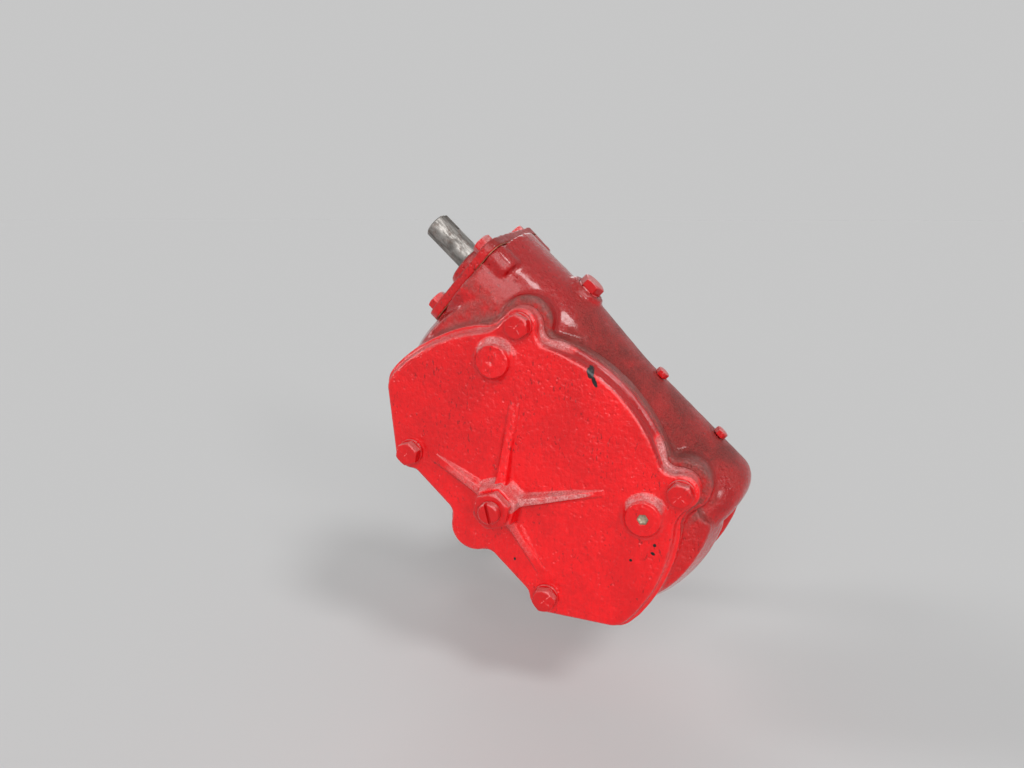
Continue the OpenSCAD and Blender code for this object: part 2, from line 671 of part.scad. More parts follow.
module lever_seal() {
    color(dark_rubber) installed() difference() {
        bar_y(seal_r - 0.02, lever_end_y - seal_t, lever_end_y - 0.6);
        bar_y(lever_shaft_r + shaft_clear + 0.05, lever_end_y - seal_t - 1, lever_end_y);
    }
}

// The arm's blade and eye: the front view crossed with a side view that thickens towards the hub
module arm_blade(mid_y) {
    root_w = arm_hub_r - 3;
    tip_w = arm_eye_r - 5;
    eye_top = -arm_l + arm_eye_r;
    half = arm_t / 2;
    root = half + arm_root_extra;
    intersection() {
        slab(mid_y - root, mid_y + root) {
            polygon([[-root_w, 0], [-tip_w, -arm_l], [tip_w, -arm_l], [root_w, 0]]);
            translate([0, -arm_l]) circle(r = arm_eye_r);
        }
        translate([-arm_hub_r, 0, 0]) rotate([90, 0, 90]) linear_extrude(2 * arm_hub_r)
            polygon([[mid_y - root, 0], [mid_y - half, eye_top], [mid_y - half, -arm_l - arm_eye_r - 1],
                     [mid_y + half, -arm_l - arm_eye_r - 1], [mid_y + half, eye_top], [mid_y + root, 0]]);
    }
}
module drop_arm() {
    mid_y = (arm_y + arm_back_y) / 2;
    web = arm_t / 2 - 3;
    outer = mid_y + arm_hub_t;
    wide_r = arm_hub_r - 12;
    slim_r = arm_eye_r - 12;
    wide_z = -arm_hub_r - 6 - wide_r;
    slim_z = -arm_l + arm_eye_r + 6;
    side_a = asin((wide_r - slim_r) / (wide_z - slim_z));
    color(enamel) installed() difference() {
        union() {
            turned_y([[0, arm_y], [arm_hub_r - 1.5, arm_y], [arm_hub_r, arm_y + 1.5],
                      [arm_hub_r, arm_back_y - 1.5], [arm_hub_r - 1.5, arm_back_y], [0, arm_back_y]]);
            arm_blade(mid_y);
        }
        // forged hollows on both faces of the blade, round at both ends
        for (side = [-1, 1]) translate([0, side > 0 ? mid_y + web : 2 * mid_y - outer, 0]) slab(0, outer - mid_y - web)
            polygon(concat(arc([0, wide_z], wide_r, -side_a, 180 + side_a, 14),
                           arc([0, slim_z], slim_r, 180 + side_a, 360 - side_a, 10)));
        turned_y([[0, arm_y - 1], [seat_r(arm_y - 1), arm_y - 1],
                  [seat_r(arm_back_y + 1), arm_back_y + 1], [0, arm_back_y + 1]]);
        translate([0, 0, -arm_l]) bar_y(stud_hole_r, mid_y - arm_t, mid_y + arm_t);
    }
}

module arm_washer() {
    color(bare_steel) installed() difference() {
        bar_y(arm_nut_af / 2 + 1.5, arm_back_y, nut_y);
        bar_y(thread_r + 0.3, arm_back_y - 1, nut_y + 1);
        translate([thread_r, arm_back_y - 1, -1]) cube([arm_nut_af, arm_washer_t + 2, 2]);
    }
}

module arm_nut() {
    color(bare_steel) installed() difference() {
        hex_y(arm_nut_af, nut_y, nut_y + arm_nut_t);
        bar_y(thread_r + thread_clear, nut_y - 1, nut_y + arm_nut_t + 1);
    }
}

housing();
side_cover();
cover_gasket();
cover_bolt_1();
cover_bolt_2();
cover_bolt_3();
cover_bolt_4();
cover_washer_1();
cover_washer_2();
cover_washer_3();
cover_washer_4();
adjusting_screw();
adjusting_nut();
level_plug();
end_cover();
end_shims();
end_bolt_1();
end_bolt_2();
end_bolt_3();
end_bolt_4();
filler_plug();
passage_plug_1();
passage_plug_2();
input_shaft();
input_seal();
lever_shaft();
lever_seal();
drop_arm();
arm_washer();
arm_nut();
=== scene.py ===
# %% [markdown]
# # A steering gearbox, dressed in Blender
# The gearbox sits on a vintage tractor. A column turns a cam in the tube on top of a cast housing, a fan-shaped cover
# closes its side, and a drop arm swings behind it. The solids come from the CAD model as a fixed frame. Here the
# castings get their fillets and rough skin, the fasteners their rounded edges, and every surface its paint, metal or
# dust. The lesson goes from the camera to the cover, the housing and the small parts, and ends with the light.

# %% Load the frame
import math

import bmesh
import bpy
import numpy as np
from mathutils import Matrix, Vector
from mathutils.geometry import delaunay_2d_cdt


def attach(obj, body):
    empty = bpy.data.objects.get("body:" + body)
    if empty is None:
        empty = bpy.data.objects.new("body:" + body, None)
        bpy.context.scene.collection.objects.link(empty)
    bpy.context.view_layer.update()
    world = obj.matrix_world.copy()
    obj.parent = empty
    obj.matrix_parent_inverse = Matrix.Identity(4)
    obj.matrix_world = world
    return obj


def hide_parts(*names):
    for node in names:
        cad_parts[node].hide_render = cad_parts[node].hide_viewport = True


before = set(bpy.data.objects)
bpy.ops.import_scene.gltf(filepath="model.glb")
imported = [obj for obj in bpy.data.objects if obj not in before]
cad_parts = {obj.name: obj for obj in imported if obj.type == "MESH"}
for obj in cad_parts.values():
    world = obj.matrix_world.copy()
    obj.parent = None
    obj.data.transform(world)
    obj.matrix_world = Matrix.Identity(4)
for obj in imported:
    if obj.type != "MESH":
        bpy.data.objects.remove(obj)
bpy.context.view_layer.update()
scene = bpy.context.scene
print("nodes in the frame:", len(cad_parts))

# %% [markdown]
# ## The camera
# The view is what ties the model to the photograph. It could be set by eye, but a view worked out from the four
# cover bolts, whose places on the cover are known, puts every boss and rib on its own pixel. The back vector below
# points from the box to the camera: 19 degrees round to the right and 12 degrees up.

# %% Camera
AROUND, UP = math.radians(19.1), math.radians(12.33)
CAMERA_AT, LENS_MM, SENSOR_MM = (0.1639, -0.5541, 0.1840), 27.07, 36


def add_object(name, data):
    """A new object in the scene that shows this data."""
    ob = bpy.data.objects.new(name, data)
    scene.collection.objects.link(ob)
    return ob


back = Vector((math.sin(AROUND) * math.cos(UP), -math.cos(AROUND) * math.cos(UP), math.sin(UP)))
camera = add_object("camera", bpy.data.cameras.new("camera"))
camera.location = CAMERA_AT
camera.rotation_mode = "QUATERNION"
camera.rotation_quaternion = (-back).to_track_quat("-Z", "Y")
camera.data.sensor_width = SENSOR_MM
camera.data.lens = LENS_MM
scene.camera = camera
scene.view_settings.view_transform = "Standard"
print("camera at", tuple(round(v, 3) for v in camera.location))

# %% [markdown]
# ## The box's own directions
# The box is leaned over by 43 degrees as fitted, so drawing straight in the row frame would mean sines and cosines
# everywhere. It is easier to draw it upright: s runs along the cam, y is the depth behind the cover's face and t goes
# up from the lever shaft, all in millimetres. One function then leans any array of points over and turns it into
# metres.

# %% Upright coordinates
LEAN = math.radians(43.2)
DEPTH = 104.0


def toward(a):
    """Unit vector at an angle or at many: cosine and sine."""
    return np.stack([np.cos(a), np.sin(a)], -1)


def lean(points):
    """Row frame in metres of upright points (s, y, t) in mm: s and t turn by the lean, y counts from the back."""
    s, y, t = np.moveaxis(np.asarray(points, float), -1, 0)
    c, k = toward(LEAN)
    return np.stack([c * s + k * t, y - DEPTH, c * t - k * s], -1) / 1000


def upright(points):
    """Upright (s, y, t) in mm of row frame points in metres, the other way round."""
    x, y, z = np.moveaxis(np.asarray(points, float) * 1000, -1, 0)
    c, k = toward(LEAN)
    return np.stack([c * x - k * z, y + DEPTH, k * x + c * z], -1)


print("the cover's upper right bolt:", lean([71, 0, 94.4]).round(4))

# %% [markdown]
# ## Lumps of a casting
# Sand leaves a casting slightly wavy, and thick paint adds its own waves. A texture can only shade such waves, but on
# glossy paint they also bend the highlights, so the larger ones go into the mesh. A lattice of random heights, joined
# by smooth steps, gives waves of a chosen size.

# %% Lumps
PRIMES = np.array([73856093, 19349663, 83492791])


def lumps(points, size, seed):
    """Smooth random height from -1 to 1 at points of 2 or 3 coordinates: random values on a lattice of that size,
    blended between the corners of a cell with the smooth step 3f^2 - 2f^3."""
    p = np.asarray(points, float) / size + 1000.5
    cell = np.floor(p).astype(np.int64)
    f = p - cell
    f = f * f * (3 - 2 * f)
    total = 0.0
    dims = p.shape[-1]
    for corner in range(2**dims):
        pick = np.array([(corner >> d) & 1 for d in range(dims)])
        h = ((cell + pick) * PRIMES[:dims]).sum(-1) + seed * 2654435761
        h = (h ^ (h >> 13)) * 1274126177 & 0x7FFFFFFF
        h = ((h ^ (h >> 16)) * 668265263 & 0x7FFFFFFF) / 0x3FFFFFFF - 1
        total = total + h * np.prod(np.where(pick, f, 1 - f), -1)
    return total


def waves(points, seed, *sizes):
    """Lumps of several (size, height) pairs in one."""
    return sum(high * lumps(points, size, seed + i) for i, (size, high) in enumerate(sizes))


print("lumps at one point:", lumps([[3.0, 4.0]], 5, 1).round(3))

# %% [markdown]
# ## Putting a surface into the scene
# Every new piece is an array of points and an array of faces. One helper makes the mesh, gives it smooth shading,
# hangs it on its body and hides the CAD nodes it stands for. A grid helper numbers the quads of a surface that is
# closed round one way, such as a ring or a bolt.

# %% Mesh helpers


def new_mesh(name, points, faces):
    """A mesh from points in metres and a list of faces."""
    mesh = bpy.data.meshes.new(name)
    mesh.from_pydata(np.asarray(points).tolist(), [], faces)
    return mesh


def piece(name, points, faces, body, stands_for, material):
    """A smooth mesh object, riding on a body."""
    mesh = new_mesh(name, points, faces)
    mesh.validate()
    mesh.shade_smooth()
    return settle(add_object(name, mesh), body, stands_for, material)


def settle(ob, body, stands_for, material):
    """Rides on its body, hides the nodes it replaces and gets its material."""
    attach(ob, body)
    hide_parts(*stands_for)
    dress(ob, material)
    return ob


def dress(ob, material):
    """Gives an object one material."""
    ob.data.materials.clear()
    ob.data.materials.append(material)
    print(ob.name, len(ob.data.polygons), "faces,", material.name)


def grid_faces(rows, cols, wrap_rows=False):
    """Quads between the neighbours of a grid of points that is closed round its columns, numbered row by row."""
    r = np.arange(rows if wrap_rows else rows - 1)[:, None]
    c = np.arange(cols)[None, :]
    r2, c2 = (r + 1) % rows, (c + 1) % cols
    quads = np.stack([r * cols + c, r * cols + c2, r2 * cols + c2, r2 * cols + c], -1)
    return quads.reshape(-1, 4).tolist()


def face_out(mesh):
    """Turns all faces of a closed mesh outwards and returns the number of its open edges, which should be none."""
    work = bmesh.new()
    work.from_mesh(mesh)
    bmesh.ops.recalc_face_normals(work, faces=work.faces)
    open_edges = sum(not e.is_manifold for e in work.edges)
    work.to_mesh(mesh)
    work.free()
    return open_edges


def sharpen(ob, degrees):
    """Smooth shading with sharp edges where faces meet at more than an angle."""
    ob.data.set_sharp_from_angle(angle=math.radians(degrees))


print("quads between 3 rings of 8 points:", len(grid_faces(3, 8)))

# %% [markdown]
# ## Shader helpers
# Node trees are easier to read as formulas. A Value wraps a node's output, and each sign between two of them adds one
# Math node, so a mask reads as a product of its parts. The other helpers add one node each in the same manner.

# %% Values and nodes


class Value:
    """A node's output that can stand in a formula."""

    def __init__(self, socket):
        self.socket = socket
        self.tree = socket.id_data

    def maths(self, operation, other, swapped=False):
        """Result of a Math node on this value and another value or number."""
        a, b = (other, self) if swapped else (self, other)
        return new_value(self.tree, "ShaderNodeMath", {0: a, 1: b}, operation=operation)

    def __add__(self, other):
        return self.maths("ADD", other)

    def __sub__(self, other):
        return self.maths("SUBTRACT", other)

    def __mul__(self, other):
        return self.maths("MULTIPLY", other)

    def __truediv__(self, other):
        return self.maths("DIVIDE", other)

    def __radd__(self, other):
        return self.maths("ADD", other, True)

    def __rsub__(self, other):
        return self.maths("SUBTRACT", other, True)


def feed(n, inputs):
    """Links each value to the node's input of that name or number, or sets a plain number or colour there."""
    for key, value in inputs.items():
        socket = n.inputs[key]
        if isinstance(value, Value):
            value.tree.links.new(value.socket, socket)
        elif socket.type == "RGBA":
            socket.default_value = (*value, 1)
        else:
            socket.default_value = value


def node(tree, kind, inputs=None, **props):
    """Adds one node, sets its properties and feeds its inputs."""
    n = tree.nodes.new(kind)
    for key, value in props.items():
        setattr(n, key, value)
    feed(n, inputs or {})
    return n


def new_value(tree, kind, inputs=None, output=0, **props):
    """Adds one node and returns its output of that name or number."""
    return Value(node(tree, kind, inputs, **props).outputs[output])


def clamp(value):
    """Keeps what the last sign of a formula gives between 0 and 1."""
    value.socket.node.use_clamp = True
    return value


def most(a, b):
    """The larger of two values."""
    return a.maths("MAXIMUM", b)


print("a Value takes + - * and /, and the larger of two is most()")

# %% Helpers that add one node


def object_place(tree):
    """The place on the object."""
    return new_value(tree, "ShaderNodeTexCoord", output="Object")


def mapped(place, kind="POINT", **inputs):
    """A place moved, turned or scaled."""
    return new_value(place.tree, "ShaderNodeMapping", {"Vector": place, **inputs}, vector_type=kind)


def noise(place, scale, detail=2.0, rough=0.5):
    """Noise between 0 and 1."""
    inputs = {"Vector": place, "Scale": scale, "Detail": detail, "Roughness": rough}
    return new_value(place.tree, "ShaderNodeTexNoise", inputs)


def stretch(value, low, high, to_low=0.0, to_high=1.0):
    """Map Range with smooth ends."""
    inputs = {0: value, 1: low, 2: high, 3: to_low, 4: to_high}
    return new_value(value.tree, "ShaderNodeMapRange", inputs, interpolation_type="SMOOTHSTEP")


def blend(share, a, b):
    """Colour a turned into colour b by a share."""
    return new_value(share.tree, "ShaderNodeMix", {0: share, 6: a, 7: b}, 2, data_type="RGBA")


print("helpers:", [f.__name__ for f in (object_place, mapped, noise, stretch, blend)])

# %% Helpers for groups


def new_group(name, results, **settings):
    """An empty node group with its named results and settings; returns its tree and the settings as values."""
    tree = bpy.data.node_groups.new(name, "ShaderNodeTree")
    for title, default in settings.items():
        tree.interface.new_socket(title, in_out="INPUT", socket_type="NodeSocketFloat").default_value = default
    for title in results:
        kind = "NodeSocketColor" if title == "Colour" else "NodeSocketFloat"
        tree.interface.new_socket(title, in_out="OUTPUT", socket_type=kind)
    return tree, {s.name: Value(s) for s in tree.nodes.new("NodeGroupInput").outputs}


def close_group(tree, **results):
    """Feeds a group's results."""
    feed(tree.nodes.new("NodeGroupOutput"), results)
    print("group", tree.name, len(tree.nodes), "nodes")


def use(tree, name, **settings):
    """Places a group with its own settings and returns its results."""
    n = node(tree, "ShaderNodeGroup", settings, node_tree=bpy.data.node_groups[name])
    return {s.name: Value(s) for s in n.outputs}


print("groups so far:", len(bpy.data.node_groups))

# %% [markdown]
# ## The look of brushed enamel
# The whole box was painted by brush after it was put together, over rough cast iron. That gives four things at once:
# long faint streaks where the bristles dragged, a soft orange peel between them, pits where the sand shows through,
# and small dark specks. They are wanted on the cover, the housing, the bolts and the arm, so they are made once as a
# group that puts out a shade, a speck mask and a height.

# %% Group: brushed enamel
tree, given = new_group("brushed_enamel", ["Shade", "Specks", "Height"], Streaks=1.0, Grain=1.0)
spot = object_place(tree)
drag = mapped(spot, Rotation=(0, math.radians(38), 0), Scale=(1, 1, 0.22))
marks = mapped(spot, Rotation=(0, math.radians(-20), 0), Scale=(1, 1, 0.45))
streak = noise(drag, 520, 3, 0.6)
swell, mottle, peel, sand = (noise(spot, *n) for n in ((30, 3, 0.6), (190, 4, 0.75), (330, 2, 0.5), (900, 3, 0.65)))
cell = new_value(tree, "ShaderNodeTexVoronoi", {"Vector": spot, "Scale": 230.0})
pit = most(stretch(cell, 0.08, 0.30), stretch(noise(spot, 60, 1), 0.46, 0.58, 1.0, 0.0))
close_group(tree, Height=streak * given["Streaks"] * 0.16 + peel * 0.55 + (sand * 0.12 + pit * 0.24) * given["Grain"],
            Shade=stretch(swell * 0.45 + mottle * 0.30 + streak * given["Streaks"] * 0.25, 0.33, 0.66),
            Specks=stretch(noise(marks, 560, 3, 0.65), 0.585, 0.68) * stretch(noise(spot, 45, 1), 0.36, 0.62, 0.15))

# %% [markdown]
# ## Settled dust, and painted light with it
# Years of field dust lie on whatever faces up. Two kinds show: a thin dark film of dust and oil that dulls the red,
# kept dark enough that on the housing it also paints the shade on the tube's top, and a pale dry crust in corners and
# on ledges, which the pale setting turns pink so that on upward crests and flares it also paints a highlight. Where a
# hand or a rag has wiped them off, an oily stain is left that is dark but glossy, and it also paints the shade there.
# The part's own normal says what faces up, and it stays with the piece when an arm swings. Noise breaks the edges,
# and a finer noise makes grains.

# %% Group: settled dust and painted light
# The film is dark enough to paint shade as well as dust
FILM_AND_SHADE = (0.045, 0.009, 0.007), (0.215, 0.050, 0.041)
CRUST = (0.065, 0.034, 0.028), (0.27, 0.155, 0.135)
# A pale pink crust, which on upward crests and flares also paints a highlight
CHALK_AND_HIGHLIGHT = (0.42, 0.09, 0.085), (0.95, 0.58, 0.57)
tree, given = new_group("dust_and_painted_light", ["Mask", "Colour", "Height", "Stain"], From=0.25, To=0.85, Patches=1.0,
                        Lying=0.0, Crust=0.5, Pale=0.0)
spot = object_place(tree)
normal = new_value(tree, "ShaderNodeTexCoord", output="Normal")
up = new_value(tree, "ShaderNodeSeparateXYZ", {0: normal}, "Z")
facing = stretch(up, given["From"], given["To"])
patch = stretch(noise(spot, 48, 7, 0.72), 0.30, 0.66, 0.10) - 1
grain = noise(spot, 1300, 3, 0.7)
wiped = given["Lying"].maths("MINIMUM", 0.0) + 1
thick = most(given["Lying"], 0.0) * stretch(noise(spot, 140, 3, 0.65), 0.30, 0.58, 0.40)
settled = most(facing * (given["Patches"] * patch + 1) * wiped, thick)
mask = clamp(settled * stretch(grain, 0.28, 0.60, 0.60))
crumb = stretch(noise(spot, 1000, 4, 0.8), 0.34, 0.68)
film, crust, chalk_and_highlight = (blend(crumb, *pair) for pair in (FILM_AND_SHADE, CRUST, CHALK_AND_HIGHLIGHT))
kind = clamp(most(given["Crust"], thick * 1.3))
# The last result marks wiped places, for a dark oily stain that also paints shade there
close_group(tree, Mask=mask, Colour=blend(kind, film, blend(given["Pale"], crust, chalk_and_highlight)), Height=grain * mask,
            Stain=1 - wiped)

# %% [markdown]
# ## Edges and corners
# The crests are painted pale, partly for paint rubbed thin and partly as a painted highlight, and the corners are
# painted dark as painted shade. Cycles knows how sharply a dense mesh bends, as pointiness, and that needs no image or
# extra geometry. The group turns it into one mask for crests and one for corners.

# %% Group: edges and corners
tree, given = new_group("edges_and_corners", ["Crest", "Corner"], Reach=0.06)
share = (new_value(tree, "ShaderNodeNewGeometry", output="Pointiness") - 0.5) / given["Reach"]
rough_edge = stretch(noise(object_place(tree), 600, 3, 0.6), 0.3, 0.7, 0.35)
# Crest is where the painted highlight and rubbed paint go, Corner where the painted shade goes
close_group(tree, Crest=stretch(share, 0.35, 1.3) * rough_edge, Corner=stretch(share * -1.0, 0.15, 1.0))

# %% [markdown]
# ## The enamel materials
# All the painted pieces share those groups, but each takes them in its own measure: the cover is the cleanest and
# brightest, the housing is a darker red under a dark film on all that faces up, partly deeper paint and dust and partly
# the painted shade on its top, and the bolts were dabbed with a full brush. The shader itself stays in the material.
# Its base carries the fine relief, which breaks up the highlights, and a thin clear coat over clean paint adds the
# sharp lines of thick gloss.

# %% Enamel
RED, DEEP_RED = (0.82, 0.0030, 0.0065), (0.40, 0.0012, 0.0030)
# Corners take painted shade, crests a pale red for rubbed paint and painted highlight, wiped places a dark stain that
# also paints shade
CORNER_SHADE_RED, WEAR_AND_HIGHLIGHT_RED, SPECK_RED = (0.13, 0.003, 0.004), (0.88, 0.20, 0.20), (0.16, 0.006, 0.007)
STAIN_AND_SHADE_RED, CHIP_BLACK = (0.10, 0.001, 0.002), (0.006, 0.005, 0.005)


def new_material(name):
    """A new material, its tree and its shader."""
    mat = bpy.data.materials.new(name)
    mat.use_nodes = True
    return mat, mat.node_tree, mat.node_tree.nodes["Principled BSDF"]


def chip(place, x, z, half_w, half_h, turn):
    """Mask of one chip: an ellipse in x and z, turned about y, whose edge is broken by noise."""
    at = mapped(place, "TEXTURE", Location=(x, 0, z), Rotation=(0, math.radians(turn), 0), Scale=(half_w, 1000, half_h))
    off = new_value(place.tree, "ShaderNodeVectorMath", {0: at}, "Value", operation="LENGTH")
    return stretch(off + noise(place, 900, 2, 0.6) * 0.7, 1.25, 1.45, 1.0, 0.0)


def enamel(name, bright=1.0, dust=1.0, dust_from=0.3, dust_to=0.9, crust=0.5, pale=0.0, patches=1.0, streaks=1.0,
           grain=1.0, bump=0.9, crest=0.35, height_m=0.0009, stain_and_shade=0.6, chips=(), calm=None):
    """Gloss enamel: red by the brushed shade, painted shade in corners, pale crests of wear and painted highlight,
    specks, oily stains that also paint shade, dust over it, and black chips.
    """
    mat, t, shader = new_material(name)
    place = object_place(t)
    lying = new_value(t, "ShaderNodeAttribute", output="Fac", attribute_name="lying")
    paint = use(t, "brushed_enamel", Streaks=streaks, Grain=grain)
    dirt = use(t, "dust_and_painted_light", From=dust_from, To=dust_to, Crust=crust, Pale=pale, Patches=patches, Lying=lying)
    edge = use(t, "edges_and_corners")
    # The crest share paints rubbed paint and a painted highlight in one pale red
    wear_and_painted_light, marked = edge["Crest"] * crest, paint["Specks"] * 0.7
    if calm:
        even = 1 - chip(place, *calm, 0)
        wear_and_painted_light, marked = wear_and_painted_light * even, marked * even
    deep, red = ([v * bright for v in c] for c in (DEEP_RED, RED))
    colour = blend(stretch(paint["Shade"], 0, 1, 0.60), deep, red)
    # Painted shade in corners, pale crests of wear and painted highlight, specks, and the stain that also paints shade
    for share, tint in ((edge["Corner"] * 0.65, CORNER_SHADE_RED), (wear_and_painted_light, WEAR_AND_HIGHLIGHT_RED), (marked, SPECK_RED),
                        (dirt["Stain"] * stain_and_shade, STAIN_AND_SHADE_RED)):
        colour = blend(share, colour, tint)
    film = clamp(dirt["Mask"] * dust)
    colour = blend(film, colour, dirt["Colour"])
    high = paint["Height"] + dirt["Height"] * (0.5 * dust)
    if chips:
        bare = chip(place, *chips[0])
        for one in chips[1:]:
            bare = most(bare, chip(place, *one))
        colour, high = blend(bare, colour, CHIP_BLACK), high - bare * 0.4
    relief = new_value(t, "ShaderNodeBump", {"Strength": bump, "Distance": height_m, "Height": high})
    feed(shader, {"Base Color": colour, "Normal": relief, "Specular IOR Level": 0.28, "Coat Roughness": 0.12,
                  "Roughness": clamp(stretch(paint["Shade"], 0, 1, 0.19, 0.12) + film * 0.40),
                  "Coat Weight": clamp(1 - film) * 0.5})
    return mat


print("reds:", RED, DEEP_RED)

# %% The five paints
# Each chip on the cover: x and z in metres, half width and height, and its turn in degrees
CHIPS = [(0.0585, 0.0904, 0.0021, 0.0038, -14), (0.0610, 0.0853, 0.0013, 0.0042, -24),
         (0.1017, -0.0161, 0.0011, 0.0011, 0), (0.1009, -0.0217, 0.0014, 0.0010, 20),
         (0.0872, -0.0282, 0.0009, 0.0009, 0), (0.0100, -0.0390, 0.0008, 0.0010, 0)]
PLUG_AREA = (0.0945, 0.0021, 0.0145, 0.0145)
# The cover's pale crust on upward crests and flares is partly a painted highlight
cover_paint = enamel("cover_paint", dust=0.85, dust_to=0.80, crust=0.7, pale=0.9, height_m=0.0016, chips=CHIPS,
                     calm=PLUG_AREA)
# A darker red and a dark film over all that faces up: partly dust and deeper paint, partly painted shade on the tube's
# top
housing_paint = enamel("housing_paint", bright=0.74, dust=0.88, dust_from=-0.30, dust_to=0.60, crust=0.06, patches=0.5,
                       stain_and_shade=0.5, grain=1.3, height_m=0.0021)
# The bolts' pale crests and pink crust are partly painted highlight
bolt_paint = enamel("bolt_paint", bright=0.80, dust=0.9, dust_from=0.25, dust_to=0.70, crust=0.9, pale=0.8,
                    streaks=0.6, bump=0.8, crest=0.75, height_m=0.0005)
arm_paint = enamel("arm_paint", bright=0.75, dust=0.8, dust_from=0.2, dust_to=0.95, crust=0.3)
plug_paint = enamel("plug_paint", dust=0.0, streaks=0.3, grain=0.15, bump=0.8, crest=0.0, height_m=0.00025)
print("paints:", [m.name for m in bpy.data.materials])

# %% [markdown]
# ## Bare metal, gasket, shims and rubber
# What was never painted is dull steel with fine turning marks and a little rust, dark gasket paper that the paint
# half covers, thin brass shims and black rubber. Each has a colour that varies, its own roughness and a fine relief.

# %% Other materials
RUST = (0.11, 0.040, 0.018)


def plain_finish(name, low, high, scale, smooth, rough, metal=0.0, relief=0.3, depth_m=0.0001, lined=(1, 1, 1),
                 rust=0.0, dust=0.0):
    """A finish between two colours by noise, with its roughness, relief, and a share of rust and dust."""
    mat, t, shader = new_material(name)
    place = object_place(t)
    share = noise(mapped(place, Scale=lined), scale, 4, 0.65)
    colour = blend(stretch(share, 0.3, 0.7), low, high)
    roughness, metallic = stretch(share, 0.3, 0.7, rough, smooth), metal
    if rust:
        rusty = stretch(noise(place, 220, 7, 0.78), 0.48, 0.70) * rust
        colour = blend(rusty, colour, RUST)
        roughness, metallic = clamp(roughness + rusty * 0.4), clamp(metal - rusty)
    if dust:
        dirt = use(t, "dust_and_painted_light")
        film = dirt["Mask"] * dust
        colour, roughness = blend(film, colour, dirt["Colour"]), clamp(roughness + film * 0.4)
    bump = new_value(t, "ShaderNodeBump", {"Strength": relief, "Distance": depth_m, "Height": share})
    feed(shader, {"Base Color": colour, "Roughness": roughness, "Metallic": metallic, "Normal": bump})
    return mat


turned_steel = plain_finish("turned_steel", (0.13, 0.12, 0.11), (0.34, 0.32, 0.30), 900, 0.38, 0.58, metal=0.9,
                            depth_m=0.00008, lined=(0.15, 1, 0.15), rust=0.6)
plug_steel = plain_finish("plug_steel", (0.22, 0.175, 0.12), (0.52, 0.42, 0.31), 1400, 0.30, 0.5, metal=0.35,
                          relief=0.4)
machined_iron = plain_finish("machined_iron", (0.17, 0.15, 0.14), (0.36, 0.33, 0.31), 700, 0.38, 0.6, metal=0.85,
                             depth_m=0.00008, rust=0.5)
gasket_paper = plain_finish("gasket_paper", (0.13, 0.012, 0.012), (0.42, 0.012, 0.014), 260, 0.45, 0.8, relief=0.5,
                            depth_m=0.0002)
shim_brass = plain_finish("shim_brass", (0.20, 0.012, 0.010), (0.36, 0.13, 0.06), 500, 0.35, 0.55, metal=0.4,
                          relief=0.2, rust=0.3)
seal_rubber = plain_finish("seal_rubber", (0.012, 0.012, 0.012), (0.045, 0.042, 0.04), 500, 0.55, 0.8, dust=0.35)
print("materials:", len(bpy.data.materials))

# %% [markdown]
# ## The cover's outline
# The cover is a fan: a wide arc over the top, two side arcs, ears round the bolts and a bulge under the shaft, with a
# fillet wherever two arcs meet. A spline could follow it, but a chain of arcs that touch is what a pattern maker
# draws, and it can be let out evenly: outer arcs grow by the same amount that inner ones shrink.

# %% Arcs of the outline
RIM, BULGE = np.array([0, 2.4]), np.array([0, -28.6])
EAR_UP, EAR_LOW = np.array([71.0, 94.4]), np.array([66.0, -23.3])
BOLTS = [EAR_LOW, EAR_UP, EAR_UP * [-1, 1], EAR_LOW * [-1, 1]]
TOP_R, SIDE_R, CORNER_R, BULGE_R = 106.5, 110.5, 12, 16
EAR_UP_R, EAR_LOW_R = 11, 12.2
TOP_FILLET, SIDE_FILLET, FOOT_FILLET, BULGE_FILLET = 10, 20, 8, 10
LOWER_EDGE = -30.6
FLANK = math.radians(41)
HALF_TURN, QUARTER = math.pi, math.pi / 2


def angle(v):
    """Angle of a vector."""
    return math.atan2(v[1], v[0])


def swing(r, fillet, ear, ear_r):
    """Angle about the rim's centre from an ear to the fillet that touches it and a rim of radius r (cosine rule)."""
    d = np.linalg.norm(ear - RIM)
    return math.acos(((r + fillet) ** 2 + d**2 - (ear_r + fillet) ** 2) / (2 * (r + fillet) * d))


def under_edge(circle, reach, fillet, side):
    """Centre of a fillet under the lower edge, at a distance from a circle's centre, to its left or right."""
    t = LOWER_EDGE - fillet
    return np.array([circle[0] + side * math.sqrt(reach**2 - (t - circle[1]) ** 2), t])


top_a = angle(EAR_UP - RIM) + swing(TOP_R, TOP_FILLET, EAR_UP, EAR_UP_R)
side_a = angle(EAR_UP - RIM) - swing(SIDE_R, SIDE_FILLET, EAR_UP, EAR_UP_R)
top_c, side_c = RIM + (TOP_R + TOP_FILLET) * toward(top_a), RIM + (SIDE_R + SIDE_FILLET) * toward(side_a)
flank_out = toward(FLANK - QUARTER)
corner_off = (EAR_LOW - RIM) @ flank_out + EAR_LOW_R - CORNER_R
corner_c = RIM + corner_off * flank_out + math.sqrt((SIDE_R - CORNER_R) ** 2 - corner_off**2) * toward(FLANK)
foot_c = under_edge(EAR_LOW, EAR_LOW_R + FOOT_FILLET, FOOT_FILLET, -1)
fillet_c = under_edge(BULGE, BULGE_R + BULGE_FILLET, BULGE_FILLET, 1)
a_bulge, a_foot, a_corner = angle(fillet_c - BULGE), angle(EAR_LOW - foot_c), angle(corner_c - RIM)
a_ear, a_top = angle(EAR_UP - side_c), angle(top_c - EAR_UP)
